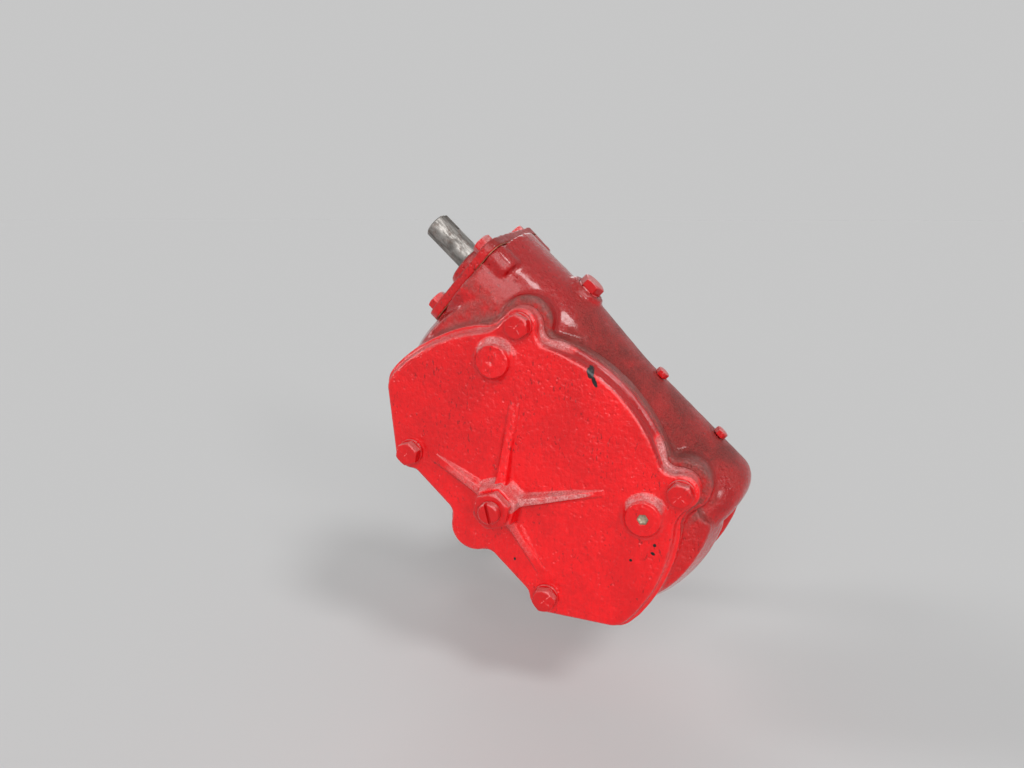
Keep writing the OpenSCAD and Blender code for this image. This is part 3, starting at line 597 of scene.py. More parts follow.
# Each arc: centre, radius, outward side, first and last angle, and its share of the let-out outside the face
ARCS = [(BULGE, BULGE_R, 1, -QUARTER, a_bulge, 0.5),
        (fillet_c, BULGE_FILLET, -1, a_bulge + HALF_TURN, QUARTER, 0.5),
        (foot_c, FOOT_FILLET, -1, QUARTER, a_foot, 0.5),
        (EAR_LOW, EAR_LOW_R, 1, a_foot - HALF_TURN, FLANK - QUARTER, 0.45),
        (corner_c, CORNER_R, 1, FLANK - QUARTER, a_corner, 0.8),
        (RIM, SIDE_R, 1, a_corner, side_a, 1.0),
        (side_c, SIDE_FILLET, -1, side_a + HALF_TURN, a_ear, 0.7),
        (EAR_UP, EAR_UP_R, 1, a_ear - HALF_TURN, a_top, 0.12),
        (top_c, TOP_FILLET, -1, a_top + HALF_TURN, top_a + HALF_TURN, 0.55),
        (RIM, TOP_R, 1, top_a, QUARTER, 1.0)]
print("arcs on one side:", len(ARCS))

# %% Outline


def outline(let_out):
    """Closed ring of (s, t) points about 1 mm apart, moved along the arcs' radii by the let-out. Outside the face's
    edge each arc takes only its share of it, smoothed along the ring, because the ears' walls are nearly upright."""
    points, ways, shares = [], [], []
    for centre, r, side, a0, a1, share in ARCS:
        n = max(3, math.ceil(r * abs(a1 - a0)))
        way = toward(np.linspace(a0, a1, n + 1)[:-1])
        points.append(centre + r * way)
        ways.append(side * way)
        shares.append(np.full(n, share))
    right = np.vstack(points + [RIM + [0, TOP_R]]), np.vstack(ways + [[0, 1]]), np.concatenate(shares + [[1.0]])
    points, ways, shares = (np.concatenate([v, v[1:-1][::-1] * k]) for v, k in zip(right, ([-1, 1], [-1, 1], 1)))
    for _ in range(3):
        shares = sum(np.roll(shares, k) for k in range(-4, 5)) / 9
    return points + ways * let_out * (shares[:, None] if let_out > 0 else 1)


ring = outline(0)
print("outline:", len(ring), "points,", np.ptp(ring, 0).round(1), "mm, longest step",
      np.linalg.norm(np.diff(ring, axis=0), axis=1).max().round(2))

# %% [markdown]
# ## The relief on the cover's face
# The hexagonal boss, the two round bosses and the four ribs grow out of one casting, so there is no sharp corner
# anywhere: each has a rounded top edge, a drafted wall and a wide fillet at its foot. Modelling them apart and
# joining them would leave seams in the gloss. Here the whole relief is one height function of the place on the face,
# so the fillets run into each other as in the sand mould.

# %% Walls, fillets and hexagons


def slope(x, start, end):
    """Straight step from 0 at the start to 1 at the end, which may be the smaller number."""
    return np.clip((x - start) / (end - start), 0, 1)


def from_centre(s, t, centre):
    """Distance from a centre on the face."""
    return np.hypot(s - centre[0], t - centre[1])


def shoulder(d, top, edge, fillet):
    """Height at distance d outside a shape's edge: flat top, rounded edge, wall at 80 degrees, quarter-round foot."""
    k = math.tan(math.radians(80))
    top = np.maximum(top, 1e-3)
    edge = np.minimum(edge, top * 0.72)
    fillet = np.minimum(fillet, top * 1.13)
    x = np.clip(d + edge, 0, edge)
    h = np.where(d < 0, top - (edge - np.sqrt(edge**2 - x**2)), top - edge - k * d)
    foot = (top - edge) / k
    x = np.clip(foot + 0.84 * fillet - d, 0, fillet)
    curve = fillet - np.sqrt(fillet**2 - x**2)
    return np.where(d > foot - 0.146 * fillet, curve, h)


def hexagon(s, t, flat):
    """Distance outside a hexagon with level flats: fold into one sector, then distance to its side."""
    s, t = np.abs(s), np.abs(t)
    cos30, half_side = 0.8660254, 0.5773503 * flat
    turn = 2 * np.minimum(-cos30 * s + 0.5 * t, 0)
    s, t = s + cos30 * turn, t - 0.5 * turn
    ds, dt = s - np.clip(s, -half_side, half_side), t - flat
    return np.hypot(ds, dt) * np.sign(dt)


def rise(a, b, r):
    """The larger of two heights, with a fillet of size r where they cross, and none where both are flat."""
    h = np.clip(0.5 + 0.5 * (a - b) / r, 0, 1)
    return b + (a - b) * h + h * (1 - h) * np.clip(np.maximum(a, b), 0, r)


print("a wall 6 mm high, 1 mm outside its edge:", shoulder(np.ones(1), 6.0, 1.0, 3.0).round(2))

# %% Bosses and ribs
PLUG_BOSS, BLANK_BOSS, BOSS_R, BOSS_TOP = (67.5, 66.2), (-67.5, 66.2), 10.9, 6.0
HEX_FLAT, HEX_TOP = 12.2, 12.6
# Each rib: angle in degrees, length, height at the boss, half width at the boss and at the tip
RIBS = [(55, 72, 7.6, 2.7, 1.9), (125, 70, 7.6, 3.6, 3.0), (-14.5, 56, 5.2, 3.3, 2.6), (194.5, 56, 5.2, 3.4, 2.7)]
RIB_START = 12
SUNK = 0.15


def rib_height(s, t, degrees, length, crest, half0, half1):
    """A rib from the hexagonal boss: its crest sinks evenly to the face at its tip and its width tapers."""
    c, k = toward(math.radians(degrees))
    along, across = s * c + t * k, np.abs(t * c - s * k)
    share = slope(along, RIB_START, length)
    flare = 1.8 * np.exp(-np.maximum(along - RIB_START, 0) / 2.6)
    half = half0 + (half1 - half0) * share + flare
    d = across - half + np.maximum(along - length, 0)
    return np.where(along > 0, shoulder(d, crest * (1 - share) ** 0.9, 0.62 * half, 3.2), 0)


def relief(s, t):
    """Height in mm of bosses and ribs over the flat face, which lies just under zero."""
    h = np.zeros_like(s)
    for rib in RIBS:
        h = rise(h, rib_height(s, t, *rib), 0.6)
    for centre, edge in ((PLUG_BOSS, 0.6), (BLANK_BOSS, 1.3)):
        h = rise(h, shoulder(from_centre(s, t, centre) - BOSS_R, BOSS_TOP, edge, 6.7), 0.5)
    h = rise(h, shoulder(hexagon(s, t, HEX_FLAT) - 0.8, HEX_TOP, 1.3, 4.6), 1.2)
    return h - SUNK


print("height on the hexagonal boss:", relief(np.zeros(1), np.zeros(1)).round(2))

# %% Waves and marks on the face


def bell(x, width):
    """Bell curve of a width: 1 where x is zero."""
    return np.exp(-((x / width) ** 2))


def skin(s, t):
    """Waves of the casting and the paint, calm on the machined plug boss, with the punched crater in the blank boss,
    the worn lower rim and the paint pushed up round the washers."""
    p = np.stack([s, t], -1)
    wave = waves(p, 3, (17, 0.13), (6.5, 0.06), (2.6, 0.030))
    wave = wave * np.clip((from_centre(s, t, PLUG_BOSS) - 10.2) / 1.5, 0.06, 1)
    x, z = s - BLANK_BOSS[0] + 0.4, t - BLANK_BOSS[1] + 0.2
    r = np.hypot(x, z)
    star = 1 + 0.35 * np.cos(3 * np.arctan2(z, x) + 0.7) + 0.25 * lumps(p, 1.1, 8)
    wave = wave - 0.8 * bell(r, 1.9 * star) + 0.16 * bell(r - 3.6, 1.0)
    wave = wave + np.where(from_centre(s, t, BLANK_BOSS) < 11.5, 0.16 * lumps(p, 2.3, 9), 0)
    edge = SIDE_R - from_centre(s, t, RIM)
    lower = slope(t, 62, 37) * slope(np.abs(s), 55, 70)
    wave = wave - 1.5 * lower * np.clip(1 - edge / 5.5, 0, 1.2) ** 2
    for bolt in BOLTS:
        wave = wave + 0.28 * bell(from_centre(s, t, bolt) - 8.95, 0.45)
    return wave


def face_height(s, t):
    """Height of the painted face in front of y = 0."""
    return relief(s, t) + skin(s, t) + SUNK


print("bottom of the crater in the blank boss:", skin(*np.array(BLANK_BOSS)[:, None]).round(2))

# %% [markdown]
# ## The cover
# The face needs fine points on the walls of the bosses and few on the flat, which no plain grid gives, so two
# lattices of points, coarse and fine, are joined by Delaunay triangles inside the outline. From the edge of the face
# a profile is carried round the outline: rounded shoulder, drafted band, hollow, and the upright lip at the joint.

# %% Points on the face
# The rim's section: let-out from the outline, and depth behind the face
RIM_PROFILE = [(-2.3, 0.0), (-1.6, 0.09), (-0.95, 0.33), (-0.38, 0.70), (0.08, 1.17), (0.45, 1.72),
               (0.74, 2.35), (1.0, 3.1), (1.3, 4.1), (1.7, 5.2), (2.15, 6.1), (2.65, 6.8), (3.2, 7.3),
               (3.8, 7.6), (4.22, 7.72), (4.58, 7.93), (4.83, 8.33), (4.96, 8.85), (5.0, 9.5), (5.0, 10.4),
               (5.0, 11.4), (4.9, 11.8), (4.7, 12.0)]
# The let-out of the face's edge, and the number of the ring where the upright lip starts
FACE_EDGE, LIP = RIM_PROFILE[0][0], 19
HOLE_R, HOLE_POINTS, HOLE_DEPTH = 6.89, 72, 1.5
FINE, COARSE = 0.42, 0.95


def inside(points, ring):
    """True where a point is inside a closed ring: an odd number of crossings of a level line to its right."""
    odd = np.zeros(len(points), bool)
    for (s0, t0), (s1, t1) in zip(ring, np.roll(ring, -1, 0)):
        cross = (t0 > points[:, 1]) != (t1 > points[:, 1])
        if cross.any():
            odd ^= cross & (points[:, 0] < (s1 - s0) * (points[:, 1] - t0) / (t1 - t0 + 1e-12) + s0)
    return odd


def lattice(step, border, shift):
    """Points of a triangular lattice over a border's rectangle."""
    low, high = border.min(0), border.max(0)
    t = np.arange(low[1], high[1], step * 0.866)
    gs, gt = np.meshgrid(np.arange(low[0], high[0], step), t)
    gs = gs + (np.arange(len(t)) % 2)[:, None] * step / 2 + shift
    return np.stack([gs.ravel(), gt.ravel()], -1)


def face_points(border):
    """Coarse lattice on the flat, fine lattice wherever the relief rises, none at the crater's centre or the hole."""
    fine, coarse = lattice(FINE, border, 0.013), lattice(COARSE, border, 0.007)
    raised, flat = relief(*fine.T) > 0.01 - SUNK, relief(*coarse.T) <= 0.01 - SUNK
    points = np.vstack([fine[raised], coarse[flat & (from_centre(*coarse.T, BLANK_BOSS) > 1)]])
    points = points[inside(points, outline(FACE_EDGE - 1.7))]
    return points[from_centre(*points.T, PLUG_BOSS) > HOLE_R + 0.36]


border = outline(FACE_EDGE)
face = face_points(border)
print("points on the face:", len(face))

# %% Cover mesh


def at_depth(ring, y):
    """Upright points of (s, t) points at one depth or at one for each."""
    return np.stack([ring[:, 0], np.broadcast_to(y, len(ring)), ring[:, 1]], -1)


def round_angles(columns):
    """Evenly spaced angles of one turn."""
    return np.linspace(0, 2 * np.pi, columns, endpoint=False)


def build_cover():
    """Triangles of the face between its border and the plug's hole, then the rim's rings, the back and the hole."""
    n = len(border)
    hole = PLUG_BOSS + HOLE_R * toward(round_angles(HOLE_POINTS))
    flat = np.vstack([border, hole, outline(FACE_EDGE - 1.0), face])
    edges = [(i, (i + 1) % n) for i in range(n)] + [(n + i, n + (i + 1) % HOLE_POINTS) for i in range(HOLE_POINTS)]
    result = delaunay_2d_cdt([Vector(p) for p in flat], edges, [], 1, 1e-7)
    pts, tris = np.array([tuple(v) for v in result[0]]), np.array(result[2])
    in_hole = from_centre(*pts[tris].mean(1).T, PLUG_BOSS) < HOLE_R - 0.09
    on_hole = ((tris >= n) & (tris < n + HOLE_POINTS)).all(1)
    faces = tris[~(in_hole | on_hole)].tolist()
    verts = [at_depth(pts, -face_height(*pts.T))]
    for k, (e, y) in enumerate(RIM_PROFILE[1:], 1):
        ring, fade = outline(e), max(0, 1 - k / 5)
        if k < LIP:
            wobble = waves_on_rim(ring, y) * (1 - fade)
            ring = ring + (outline(e + 0.5) - ring) * 2 * wobble[:, None]
        verts.append(at_depth(ring, y - face_height(*ring.T) * fade))
    rings = np.vstack([np.arange(n), len(pts) + np.arange((len(RIM_PROFILE) - 1) * n).reshape(-1, n)])
    faces += rings.ravel()[np.array(grid_faces(len(rings), n))].tolist() + [rings[-1].tolist()]
    top, low = n + np.arange(HOLE_POINTS), rings[-1, -1] + 1 + np.arange(HOLE_POINTS)
    verts.append(at_depth(hole, HOLE_DEPTH))
    faces += np.stack([top, np.roll(top, -1), np.roll(low, -1), low], -1).tolist() + [low.tolist()]
    return np.vstack(verts), faces


def waves_on_rim(ring, y):
    """Waves of the rim's band, in mm along the let-out."""
    return sum(high * lumps(np.insert(ring, 2, y * k, axis=1), size, seed)
               for high, k, size, seed in ((0.16, 1.5, 5.5, 12), (0.07, 1, 2.2, 13)))


cover_points, cover_faces = build_cover()
cover = piece("side_cover_casting", lean(cover_points), cover_faces, "box", ["side_cover"], cover_paint)
print("open edges in the cover:", face_out(cover.data))
sharpen(cover, 60)

# %% [markdown]
# ## The gasket
# A gasket is punched to the cover's outline, a hair smaller than the lip. It is a flat ring, so four rings of points,
# two on each face, close into a loop.

# %% Gasket
INNER, OUTER, JOINT_Y, GASKET_Y = -5.0, 4.75, 12.0, 12.8
loops = [at_depth(outline(e), y)
         for e, y in ((INNER, JOINT_Y), (OUTER, JOINT_Y), (OUTER, GASKET_Y), (INNER, GASKET_Y))]
gasket = piece("gasket_painted", lean(np.vstack(loops)), grid_faces(4, len(loops[0]), True), "box",
               ["cover_gasket"], gasket_paper)
print("open edges in the gasket:", face_out(gasket.data))

# %% [markdown]
# ## Soft copies of cast and forged solids
# The housing, the end cover and the drop arm have the right shape in the CAD model, but with knife edges that no
# casting has. Bevelling hundreds of crossing edges fails easily. So a merged copy is remeshed into small even quads,
# a few rounds of averaging between neighbours melt its edges and corners into fillets, and lumps are added along the
# normals. Machined faces are held still by a weight.

# %% Copies and cuts


def merged_copy(node_name, name):
    """A copy of a CAD node's triangles with their doubled corners merged."""
    ob = add_object(name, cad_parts[node_name].data.copy())
    work = bmesh.new()
    work.from_mesh(ob.data)
    bmesh.ops.remove_doubles(work, verts=work.verts, dist=2e-6)
    work.to_mesh(ob.data)
    work.free()
    return ob


def apply_modifier(ob, kind, **settings):
    """Adds a modifier and turns its result into the object's own mesh."""
    mod = ob.modifiers.new(kind, kind)
    for key, value in settings.items():
        setattr(mod, key, value)
    made = bpy.data.meshes.new_from_object(ob.evaluated_get(bpy.context.evaluated_depsgraph_get()))
    ob.modifiers.clear()
    ob.data = made


def tube_faces(rows, cols):
    """Faces of a stack of rings with a cap at both ends."""
    return grid_faces(rows, cols) + [list(range(cols)), list(range((rows - 1) * cols, rows * cols))[::-1]]


def cut_with_prism(ob, ring, y0, y1, keep_inside=False):
    """Boolean with a prism along y over a ring of upright (s, t) points in mm."""
    ends = np.vstack([at_depth(ring, y) for y in (y0, y1)])
    mesh = new_mesh("cutter", lean(ends), tube_faces(2, len(ring)))
    face_out(mesh)
    cutter = add_object("cutter", mesh)
    apply_modifier(ob, "BOOLEAN", object=cutter, operation="INTERSECT" if keep_inside else "DIFFERENCE", solver="EXACT")
    bpy.data.objects.remove(cutter)


print("faces of a prism over 6 points:", len(tube_faces(2, 6)))

# %% Softening


def read_points(mesh, what="co"):
    """The mesh's points, or their normals, as rows of three numbers."""
    values = np.zeros(len(mesh.vertices) * 3, np.float32)
    mesh.vertices.foreach_get(what, values)
    return values.reshape(-1, 3).astype(float)


def write_points(mesh, points):
    """Moves the mesh's points."""
    mesh.vertices.foreach_set("co", points.astype(np.float32).ravel())
    mesh.update()


def soften(ob, voxel, rounds, rough, seed, hold=None):
    """Voxel remesh, then each point moves half way to the mean of its neighbours, rounds times, then lumps."""
    apply_modifier(ob, "REMESH", mode="VOXEL", voxel_size=voxel)
    mesh = ob.data
    co, n = read_points(mesh), len(mesh.vertices)
    ends = np.zeros(len(mesh.edges) * 2, np.int32)
    mesh.edges.foreach_get("vertices", ends)
    a, b = ends.reshape(-1, 2).T
    count = np.bincount(ends, minlength=n)[:, None]
    weight = 1.0 if hold is None else hold(upright(co))[:, None]
    for _ in range(rounds):
        mean = np.stack([np.bincount(a, co[b, k], n) + np.bincount(b, co[a, k], n) for k in range(3)], -1) / count
        co += 0.5 * weight * (mean - co)
    write_points(mesh, co)
    co += read_points(mesh, "normal") * (waves(co * 1000, seed, *rough)[:, None] * weight / 1000)
    write_points(mesh, co)
    mesh.shade_smooth()
    return ob


print("softened later: housing, end cover, drop arm and adjusting screw")

# %% [markdown]
# ## The housing
# Its skin is rough sand casting under paint, but the mounting pad and the trunnion behind it were turned and faced on
# a lathe. A cylinder of the pad's own radius cuts the copy in two just behind the rear flange: what is outside gets the
# soft cast skin, and the inside keeps its crisp edges with a narrow bevel, as a cutting tool leaves them.

# %% Housing
REAR, BEYOND = 98.0, 400
SKIN_CUT_R, PAD_CUT_R = 64.5, 64.2
JOINT_FACE, END_FACE = 13.4, -119.0


def hold_joint(p):
    """1 on the casting, less at the joint face and the input end's face, so that they stay true."""
    joint = np.clip((p[:, 1] - JOINT_FACE) / 2.0, 0.12, 1)
    end = np.clip((p[:, 0] - END_FACE) / 2.0, 0.1, 1)
    return np.minimum(joint, end)


pad_ring = toward(round_angles(180))
skin_part = merged_copy("housing", "housing_casting")
cut_with_prism(skin_part, pad_ring * SKIN_CUT_R, REAR + 0.6, BEYOND)
soften(skin_part, 0.00142, 5, [(19, 0.22), (7, 0.10), (3.4, 0.06)], 20, hold_joint)
settle(skin_part, "box", ["housing"], housing_paint)
pad = merged_copy("housing", "housing_machined_back")
cut_with_prism(pad, pad_ring * PAD_CUT_R, REAR + 0.2, BEYOND, True)
mod = pad.modifiers.new("edges", "BEVEL")
mod.width, mod.segments, mod.limit_method, mod.angle_limit = 0.0005, 2, "ANGLE", math.radians(40)
pad.data.shade_smooth()
sharpen(pad, 35)
settle(pad, "box", ["housing"], machined_iron)

# %% [markdown]
# ## The end cover and the drop arm
# Both get the same treatment on a finer mesh: the end cover is a small casting, and the arm is a forging whose blade
# is rounded all over.

# %% End cover and drop arm
end_cover = soften(merged_copy("end_cover", "end_cover_casting"), 0.0007, 3, [(9, 0.10), (3.5, 0.05)], 40)
settle(end_cover, "box", ["end_cover"], housing_paint)
arm = soften(merged_copy("drop_arm", "drop_arm_forging"), 0.0009, 5, [(14, 0.09), (5, 0.04)], 50)
settle(arm, "lever", ["drop_arm"], arm_paint)

# %% [markdown]
# ## Where dirt stays
# Which way a surface faces doesn't say where dirt stays: it also packs behind the cover's lip and on the ribs' crests.
# Those places are known in upright coordinates, so each casting gets a number per point, called lying, that its
# paint reads: above zero dirt lies there, below zero a hand or a rag has wiped it. It moves with the piece and it
# needs no image.

# %% Lying dirt


def ramp(x, start, end):
    """Step from 0 at the start to 1 at the end with smooth ends."""
    f = slope(x, start, end)
    return f * f * (3 - 2 * f)


def set_lying(ob, dirt, wiped):
    """Writes lying dirt, or less than none where it was wiped, as a float attribute on the points."""
    k = ramp(dirt, 0.05, 0.55)
    share = np.clip(k * dirt - (1 - k) * wiped, -1, 1).astype(np.float32)
    ob.data.attributes.new("lying", "FLOAT", "POINT").data.foreach_set("value", share)
    print(ob.name, "lying dirt, mean", round(float(share.mean()), 3))


def places(ob):
    """The mesh's points in upright coordinates, the same as s, y and t, and how much each point faces up."""
    co = upright(read_points(ob.data))
    return co, *co.T, read_points(ob.data, "normal")[:, 2]


def from_spot(p, centre, halves):
    """Distance from an ellipsoid's centre, 1 on its surface."""
    return np.linalg.norm((p - centre) / halves, axis=1)


print("a smooth step a quarter of the way:", ramp(0.25, 0, 1))

# %% Lying dirt on the housing
# A band behind the lip, and wiped places at both ends of the tube, beside the upper ear and at a glint; the dark stain
# in the wiped places is partly painted shade
co, s, y, t, facing_up = places(skin_part)
ragged = co + np.array([1, 0, 0]) * (9 * lumps(co, 15, 91) + 5 * lumps(co, 5, 92))[:, None]
behind_lip = ramp(y, 36, 15) * ramp(t, 25, 70) * ramp(s, 104, 86)
behind_lip = behind_lip * (1 - 0.85 * ramp(ragged[:, 0], -38, -60) * ramp(y, 15, 20))
closed_end = 0.5 * ramp(ragged[:, 0], 74, 92) * ramp(y, 66, 46) * ramp(t, 62, 90)
input_end = 0.8 * ramp(ragged[:, 0], -42, -74) * ramp(y, 92, 66)
glint = 0.92 * ramp(from_spot(co, [91, 27, 102], [13, 16, 15]) + 0.2 * lumps(co, 5, 94), 1.2, 0.6)
smear = 0.85 * ramp(from_spot(ragged, [-64, 33, 110], [9, 22, 12]) + 0.25 * lumps(co, 4, 93), 1.3, 0.6)
wiped = np.max([closed_end, input_end, glint, smear], axis=0)
set_lying(skin_part, 0.95 * behind_lip * ramp(facing_up, -0.45, 0.2), wiped)

# %% Lying dirt on the cover
# Ribs' crests, hollows beside the upper ears and upper flares of the bosses, where the cover's pink crust also paints
# a highlight; the top arc was wiped, and a wiped share that grows towards negative s thins the dust and, through the
# stain, darkens the face there as painted shade
co, s, y, t, facing_up = places(cover)
dirt = []
for (*place, half0, half1), share in zip(RIBS, (0.9, 0.25, 0.4, 0.5)):
    dirt.append(share * ramp(rib_height(s, t, *place, half0 - 0.9, half1 - 0.9), 0.6, 2.4))
dirt.append(0.9 * ramp(y, 2.5, 6.0) * ramp(from_centre(np.abs(s), t, top_c), 22, 11))
round_flare, hexagon_flare = (BOSS_R, 11.6, 15, 18.5, 0.08, 0.5), (12, 14, 17, 21, 0.1, 0.6)
for centre, flare in ((PLUG_BOSS, round_flare), (BLANK_BOSS, round_flare), ((0, 0), hexagon_flare)):
    off, (r0, r1, r2, r3, up0, up1) = from_centre(s, t, centre), flare
    dirt.append(0.9 * ramp(off, r3, r2) * ramp(off, r0, r1) * ramp(facing_up, up0, up1))
top_arc = 0.95 * ramp(t, 78, 92) * ramp(np.abs(s), 66, 42) * ramp(y, 0.38, 0.8)
# Darker towards negative s: painted shade through the stain, which also thins the dust
wear_and_painted_light = 0.24 * ramp(s, 30, -80) + 0.08 * lumps(co, 24, 95) + 0.04
set_lying(cover, np.max(dirt, axis=0), np.maximum(top_arc, wear_and_painted_light))

# %% [markdown]
# ## Hexagon heads and nuts
# A bolt head is turned from hexagon bar: the corners are cut by a cone, so each flat gets a curved upper edge. A
# cylinder with six sides misses that. Here a head is a surface over angle and a profile: the radius follows a
# hexagon with slightly rounded corners, and the height falls off as a cone outside the chamfer's circle.

# %% Hexagon heads
COLUMNS = 150


def revolve(rows, columns=COLUMNS):
    """Rings of points round the y axis from rows of radius and y, each one number or one per column."""
    a = round_angles(columns)
    r, y = (np.stack([np.broadcast_to(row[k], columns) for row in rows]) for k in (0, 1))
    return np.stack([r * np.cos(a), y, r * np.sin(a)], -1)


def hexagon_radius(a, flat, power=34):
    """Radius of a rounded hexagon of half width flat: a p-norm of the cosines towards its three pairs of flats."""
    total = sum(np.abs(np.cos(a - np.pi / 2 - k * np.pi / 3)) ** power for k in range(3))
    return flat / total ** (1 / power)


def hex_head(flat, high, chamfer, inner, marks=0, seed=0, dome=0.0):
    """Rings of a head or nut from its inner circle over the top, down the flats and back under."""
    wall, fall = hexagon_radius(round_angles(COLUMNS), flat), math.tan(math.radians(28))
    rows = [(r, high + dome * (1 - (r / chamfer) ** 2)) for r in np.linspace(inner, chamfer, 9)]
    for f in (0.25, 0.5, 0.75, 0.9, 0.97):
        r = chamfer + f * (wall - chamfer)
        rows.append((r, high - (r - chamfer) * fall - 0.10 * (f > 0.95)))
    side = high - (wall - chamfer) * fall
    rows += [(wall, side - 0.28), (wall, side - 0.8), (wall, high * 0.45), (wall, 0.5), (wall - 0.03, 0.2),
             (wall - 0.15, 0.04), (wall - 0.4, 0), (inner + 0.05, 0)]
    x, height, z = np.moveaxis(revolve(rows), -1, 0)
    top = slope(height, high - 1.5, high)
    height = height + top * waves(np.stack([x + 50 * seed, z], -1), 60 + seed, (2.6, 0.07), (1.1, 0.04))
    for k in range(marks):
        c, s = toward(2 * np.pi * k / marks + 0.4)
        along, across = x * c + z * s, z * c - x * s
        height = height + 0.22 * top * bell(across, 0.38) * slope(along, 2.0, 2.5) * slope(along, 5.8, 5.3)
    return np.stack([x, -height, z], -1)


print("points round a head:", COLUMNS)

# %% Bolts as stacks of rings
TIP_CHAMFER = 0.8


def bolt_rings(flat, high, chamfer, r, length, seed, marks=0):
    """Head with a closed top, then its shank down to a closed tip, as one stack of rings."""
    head = hex_head(flat, high, chamfer, 0.02, marks, seed, dome=0.25)
    shank = revolve([(r, 0.0), (r, length - TIP_CHAMFER), (r - TIP_CHAMFER, length), (0.02, length)])
    return np.concatenate([head[:-1], shank])


def turn_y(points, degrees):
    """Turns upright points about the y direction, the way the CAD model turns its bolts."""
    c, k = toward(math.radians(degrees))
    x, y, z = np.moveaxis(points, -1, 0)
    return np.stack([x * c + z * k, y, z * c - x * k], -1)


def ring_piece(name, rings, stands_for, material, loop=False):
    """Quads between rings, with the first and last ring closed by a cap unless the rings loop, on the box's body."""
    rows, cols = rings.shape[:2]
    faces = grid_faces(rows, cols, True) if loop else tube_faces(rows, cols)
    ob = piece(name, lean(rings.reshape(-1, 3)), faces, "box", [stands_for], material)
    face_out(ob.data)
    return ob


print("rings of a bolt:", len(bolt_rings(flat=7.15, high=6.3, chamfer=6.6, r=4.74, length=29.5, seed=0)))

# %% [markdown]
# ## The four cover bolts and their lock washers
# The bolts hold the cover at its ears, with the faint grade marks still showing through the paint. A split lock
# washer is one turn of square wire, so it is a rounded square profile carried round a circle that stops short.

# %% Cover bolts and washers
HEAD_Y, WASHER_Y, WASHER_COLUMNS = -2.1, -1.05, 110
for i, (bs, bt) in enumerate(BOLTS):
    rings = bolt_rings(flat=7.15, high=6.3, chamfer=6.6, r=4.74, length=29.5, seed=i, marks=3)
    ring_piece(f"cover_bolt_head_{i + 1}", turn_y(rings, 17 * i + 9) + [bs, HEAD_Y, bt],
               f"cover_bolt_{i + 1}", bolt_paint)


def split_washer(inner, outer, thick, gap):
    """A rounded square profile round an open circle; the two ends part slightly along the axis."""
    a = np.linspace(gap / 2, 2 * np.pi - gap / 2, WASHER_COLUMNS)[:, None]
    q = round_angles(20) + 0.16
    px, py = (np.sign(v) * np.abs(v) ** 0.25 for v in (np.cos(q), np.sin(q)))
    r = (inner + outer) / 2 + px * (outer - inner) / 2
    return np.stack([r * np.cos(a), py * thick / 2 + 0.12 * np.cos(a / 2), r * np.sin(a)], -1)


for i, (bs, bt) in enumerate(BOLTS):
    rings = turn_y(split_washer(inner=4.95, outer=8.5, thick=1.95, gap=0.11), 80 * i + 25)
    ring_piece(f"lock_washer_{i + 1}", rings + [bs, WASHER_Y, bt], f"cover_washer_{i + 1}", bolt_paint)

# %% [markdown]
# ## The adjusting screw and its jam nut
# The screw is turned with a thread of 18 to the inch and slotted for a screwdriver. It was painted over, so the
# thread is half filled and the slot's edges are soft. A helical wave on a bar, a slot cut by a thin prism and a fine
# remesh give all three.

# %% Adjusting screw and nut
SCREW_R, SCREW_TIP, SCREW_END, PITCH, THREAD_DEPTH = 7.14, -24.3, -6.0, 1.41, 0.42
SLOT_HALF_W, SLOT_HALF_L, SLOT_FLOOR, SLOT_TURN = 1.15, 9, -21.4, 33
SCREW_COLUMNS, SCREW_STEP = 96, 0.12
NUT_Y = -12.6


def threaded_bar():
    """Rings of the screw, whose radius carries a helical wave; the thread fades into a rounded tip."""
    y = np.arange(SCREW_TIP, SCREW_END, SCREW_STEP)
    wave = 0.5 + 0.5 * np.cos(2 * np.pi * y[:, None] / PITCH - round_angles(SCREW_COLUMNS))
    off = y[:, None] - SCREW_TIP
    body = SCREW_R - THREAD_DEPTH * wave**0.8 * slope(off, 1.0, 1.8) - 1.3 * slope(off, 1.2, 0) ** 1.6
    tip = [(q, SCREW_TIP) for q in (0.02, 2.0, 4.0, 5.3)]
    return revolve(tip + list(zip(body, y)), SCREW_COLUMNS)


screw = ring_piece("adjusting_screw_painted", threaded_bar(), "adjusting_screw", bolt_paint)
corners = [(-1, -1), (1, -1), (1, 1), (-1, 1)]
slot = np.array([(SLOT_HALF_L * i, 0, SLOT_HALF_W * k) for i, k in corners])
cut_with_prism(screw, turn_y(slot, SLOT_TURN)[:, [0, 2]], SCREW_TIP - 1.7, SLOT_FLOOR)
soften(screw, 0.00017, 2, [(2.2, 0.05)], 70)
print("adjusting screw:", len(screw.data.polygons), "faces")

nut = hex_head(flat=11.1, high=7.0, chamfer=10.4, inner=7.25, seed=7)
nut = np.concatenate([nut, nut[:1] * [1, 0, 1] + [0, -0.05, 0]])
ring_piece("adjusting_nut_painted", nut + [0, NUT_Y, 0], "adjusting_nut", bolt_paint, loop=True)

# %% [markdown]
# ## The level plug
# The plug is screwed flush into its boss and painted over with it, so only its hexagon socket shows, with bare metal
# inside. The face is a ring that goes from a circle to the socket's hexagon, and the socket is a cup of its own with
# a drilled cone at the bottom.

